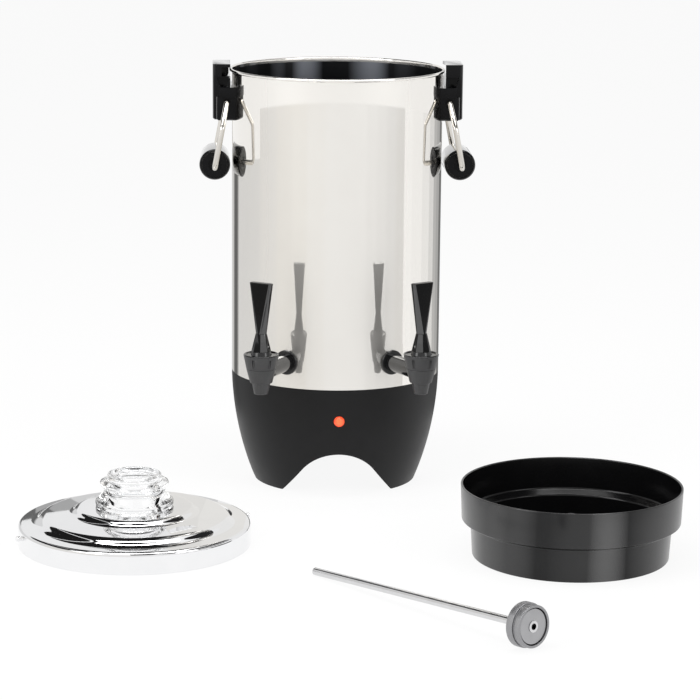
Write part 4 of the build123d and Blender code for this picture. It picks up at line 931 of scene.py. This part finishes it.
# ---- basket ---------------------------------------------------------------------------------
def make_basket():
    """The black basket with its step and its hollow column."""
    basket = turned(
        "basket_moulding",
        [
            (3.9, 0),
            (95, 0, 1.5),
            (97, 32, 2.0),
            (105.6, 36, 1.2),
            (107, 70, 0.9),
            (104.8, 70, 0.9),
            (103.4, 38.2, 2.5),
            (94.8, 34.2, 2.5),
            (92.8, 2, 1.0),
            (9.5, 2, 1.5),
            (9.5, 7, 1.0),
            (7, 9, 1.5),
            (7, 40, 1.0),
            (2.6, 40, 0.4),
            (2.6, 35),
            (3.9, 35),
        ],
        at(*basket_at),
        sides=256,
        crease=40,
    )
    middle = Vector((*basket_at, 0)) * MM
    outside_r, rim_top = 94, 69.2

    def is_outside(face):
        away = face.center - middle
        outward = face.normal.x * away.x + face.normal.y * away.y > 0
        return (outward and away.xy.length > outside_r * MM) or face.center.z > rim_top * MM

    two_finishes(basket, "basket_plastic", "basket_outside", is_outside)
    finish_piece(basket, "basket")


# ---- pump -----------------------------------------------------------------------------------
def make_pump():
    """The pump tube with its foot and loose disc, lying on the table."""
    foot = (147.265, -598.327, 20.854)
    along = (-0.625485, 0.777947, -0.059725)
    place = facing(*foot, along)
    tube = turned(
        "pump_pipe",
        [
            (2.9, 0.4),
            (5.2, 0.4, 0.2),
            (5.2, 1.2, 0.2),
            (3.6, 1.2),
            (3.6, 289, 0.25),
            (2.9, 289, 0.25),
        ],
        place,
        sides=48,
    )
    finish_piece(tube, "pump_tube")
    base = turned(
        "pump_foot",
        [
            (3.62, 5.5),
            (16.6, 5.5, 0.8),
            (16.6, 0, 0.6),
            (19, 0, 0.8),
            (19, 6, 0.5),
            (17.8, 6, 0.3),
            (17.8, 7.4, 0.3),
            (20, 7.4, 0.6),
            (20, 14.9, 0.8),
            (18.5, 14.9, 0.6),
            (18.5, 6.7, 0.8),
            (6, 6.7, 0.8),
            (6, 14.9, 0.8),
            (3.62, 14.9, 0.3),
        ],
        place,
        sides=96,
    )
    finish_piece(base, "pump_base")
    rim = [(3.68, 1.25), (15.6, 1.25, 0.3), (15.6, 2.25, 0.3), (3.68, 2.25)]
    disc = turned("pump_disc", rim, place, sides=96)
    finish_piece(disc, "pump_valve")


make_tank()
make_skirt()
for side_name, sign in (("left", -1), ("right", 1)):
    make_tap(side_name, sign)
    make_side(side_name, sign)
make_lid()
make_basket()
make_pump()

for node_name, node in frame["nodes"].items():
    node.data.materials.clear()
    node.data.materials.append(FINISHES[SLOT_OF[node_name]])


# ---- stage ----------------------------------------------------------------------------------
def seen_rays(tree):
    """1 for what is seen, straight on, in a reflection or through clear plastic."""
    path = tree.nodes.new("ShaderNodeLightPath")
    camera, glossy, clear = (
        Value(tree, path.outputs[f"Is {kind} Ray"]) for kind in ("Camera", "Glossy", "Transmission")
    )
    return camera + glossy + clear


def stage_material(name, colour, glow):
    """A plain stage colour that shows at nearly full brightness where it is seen."""
    finish = Finish(name, {"Roughness": 1.0, "Specular IOR Level": 0.0})
    finish.set("Base Color", colour)
    shine = finish.node("ShaderNodeEmission", values={"Color": colour, "Strength": 1.0})
    finish.mix_in(seen_rays(finish.tree) * glow, shine)
    return finish.material


def make_floor():
    let_go()
    bpy.ops.mesh.primitive_plane_add(size=40, location=(0, 0, 0))
    floor = bpy.context.object
    floor.name = "floor"
    floor.data.materials.append(stage_material("floor_white", rgb(1.0, 1.0, 1.0), 0.90))


def card(piece, level, warm=0.0):
    """Make a piece a card of one brightness that only reflections see."""
    settings = {"Roughness": 1.0, "Specular IOR Level": 0.0, "Emission Strength": 1.0}
    finish = Finish(piece.name, settings)
    finish.set("Base Color", rgb(0, 0, 0))
    finish.set("Emission Color", rgb(level, level * (1 - warm / 3), level * (1 - warm)))
    piece.data.materials.append(finish.material)
    piece.visible_camera = False
    piece.visible_diffuse = False
    piece.visible_shadow = False
    piece.visible_transmission = False


def met_at(share, reach):
    """Where a glance off the urn's wall, this share of its half-width out, meets a screen."""
    turn = asin(share)
    near = tank_r * cos(turn)
    go = sqrt(near**2 + reach**2 - tank_r**2) - near
    x = tank_r * sin(turn) + go * sin(2 * turn)
    y = -tank_r * cos(turn) - go * cos(2 * turn)
    return atan2(y, x)


def screen(name, begin, end, level, warm, reach, low, high):
    """An upright curved card from one angle to another round the middle, in mm."""
    let_go()
    bpy.ops.mesh.primitive_plane_add(size=1)
    piece = bpy.context.object
    piece.name = name
    bpy.ops.object.mode_set(mode="EDIT")
    bpy.ops.mesh.select_all(action="SELECT")
    bpy.ops.mesh.merge(type="CENTER")
    start = Vector((reach * cos(begin), reach * sin(begin), low)) * MM
    bpy.ops.transform.translate(value=start)
    rise = (0, 0, (high - low) * MM)
    bpy.ops.mesh.extrude_vertices_move(TRANSFORM_OT_translate={"value": rise})
    bpy.ops.mesh.select_all(action="SELECT")
    bpy.ops.mesh.spin(steps=24, angle=begin - end, center=(0, 0, 0), axis=(0, 0, 1))
    bpy.ops.object.mode_set(mode="OBJECT")
    card(piece, level, warm)


# Cards for the wall to mirror, from its left edge to its right: the share of its half-width
# where each begins, its brightness and its warmth.
WALL_LEVELS = [
    (-0.9999, 0.66, 0.0),
    (-0.984, 0.40, 0.0),
    (-0.976, 0.14, 0.0),
    (-0.946, 0.45, 0.0),
    (-0.936, 0.72, 0.0),
    (-0.74, 0.76, 0.02),
    (-0.58, 0.79, 0.05),
    (-0.44, 0.83, 0.05),
    (-0.30, 0.87, 0.02),
    (-0.13, 0.89, 0.0),
    (0.26, 0.84, 0.0),
    (0.36, 0.79, 0.0),
    (0.45, 0.74, 0.0),
    (0.54, 0.71, 0.02),
    (0.622, 1.0, 0.0),
    (0.70, 0.96, 0.0),
    (0.80, 0.88, 0.0),
    (0.87, 0.74, 0.0),
    (0.915, 0.50, 0.0),
    (0.945, 0.42, 0.0),
    (0.972, 0.18, 0.0),
    (0.9999, 0.0, 0.0),
]


def make_screens():
    """A tall ring of cards far out, a low one close in, and a wide one behind."""
    left_share, left_top = -0.9, 235
    for name, reach, low, high in (("tent", 700.0, 2, 292), ("fence", 214.0, 25, 135)):
        for index, (first, level, warm) in enumerate(WALL_LEVELS[:-1]):
            begin, end = met_at(first, reach), met_at(WALL_LEVELS[index + 1][0], reach)
            if end < begin:
                end += FULL
            top = min(high, left_top) if first < left_share else high
            screen(f"{name}_{index}", begin, end, level, warm, reach, low, top)
    screen("back_screen", radians(12), radians(168), 0.88, 0.0, 3300, 350, 2500)


def overhead(name, x_range, y_range, level):
    """A level card over the scene, facing down, in metres."""
    let_go()
    bpy.ops.mesh.primitive_plane_add(size=1)
    piece = bpy.context.object
    piece.name = name
    piece.scale = (x_range[1] - x_range[0], y_range[1] - y_range[0], 1)
    piece.location = (sum(x_range) / 2, sum(y_range) / 2, 1.9)
    piece.rotation_euler = Vector((0, 0, -1)).to_track_quat("Z", "Y").to_euler()
    card(piece, level)


def make_overheads():
    overhead("overhead_left", (-2.6, -1.25), (-0.75, 2.8), 0.012)
    overhead("overhead_middle", (-1.17, 0.12), (-0.75, 2.8), 0.012)
    overhead("overhead_soft", (0.12, 0.42), (-0.75, 2.8), 0.25)
    overhead("overhead_right", (0.95, 2.0), (-2.6, 2.8), 0.02)
    overhead("overhead_far", (2.4, 3.8), (-2.6, 2.8), 0.05)
    overhead("overhead_front_left", (-2.6, -1.9), (-2.6, -0.75), 0.012)
    overhead("overhead_front", (-0.3, 0.6), (-2.6, -0.75), 0.05)


def lamp(name, size, power, spot, aim):
    data = bpy.data.lights.new(name, "AREA")
    data.shape = "RECTANGLE"
    data.size, data.size_y = size
    data.energy = power
    light = bpy.data.objects.new(name, data)
    bpy.context.scene.collection.objects.link(light)
    light.location = spot
    light.rotation_euler = (Vector(aim) - Vector(spot)).to_track_quat("-Z", "Y").to_euler()


def make_lamps():
    lamp("left_softbox", (1.2, 1.6), 22, (-1.9, -1.3, 1.5), (0, -0.1, 0.2))
    lamp("right_softbox", (1.0, 1.6), 16, (1.9, -1.6, 1.4), (0, -0.1, 0.2))
    lamp("top_softbox", (1.8, 0.36), 14, (-0.1, -0.3, 1.85), (-0.1, -0.3, 0))


def make_world():
    """A white studio that shows as white and lights at half that strength."""
    world = bpy.data.worlds.new("studio")
    bpy.context.scene.world = world
    world.use_nodes = True
    tree = world.node_tree
    tree.nodes.clear()
    seen = seen_rays(tree)
    dim = tree.nodes.new("ShaderNodeBackground")
    dim.inputs["Strength"].default_value = 0.5
    white = tree.nodes.new("ShaderNodeBackground")
    for background in (dim, white):
        background.inputs["Color"].default_value = rgb(1, 1, 1)
    mix = tree.nodes.new("ShaderNodeMixShader")
    output = tree.nodes.new("ShaderNodeOutputWorld")
    tree.links.new(seen.socket, mix.inputs[0])
    tree.links.new(dim.outputs[0], mix.inputs[1])
    tree.links.new(white.outputs[0], mix.inputs[2])
    tree.links.new(mix.outputs[0], output.inputs["Surface"])


def make_stage():
    make_floor()
    make_screens()
    make_overheads()
    make_lamps()
    make_world()


make_stage()
bpy.context.scene.view_settings.view_transform = "Standard"
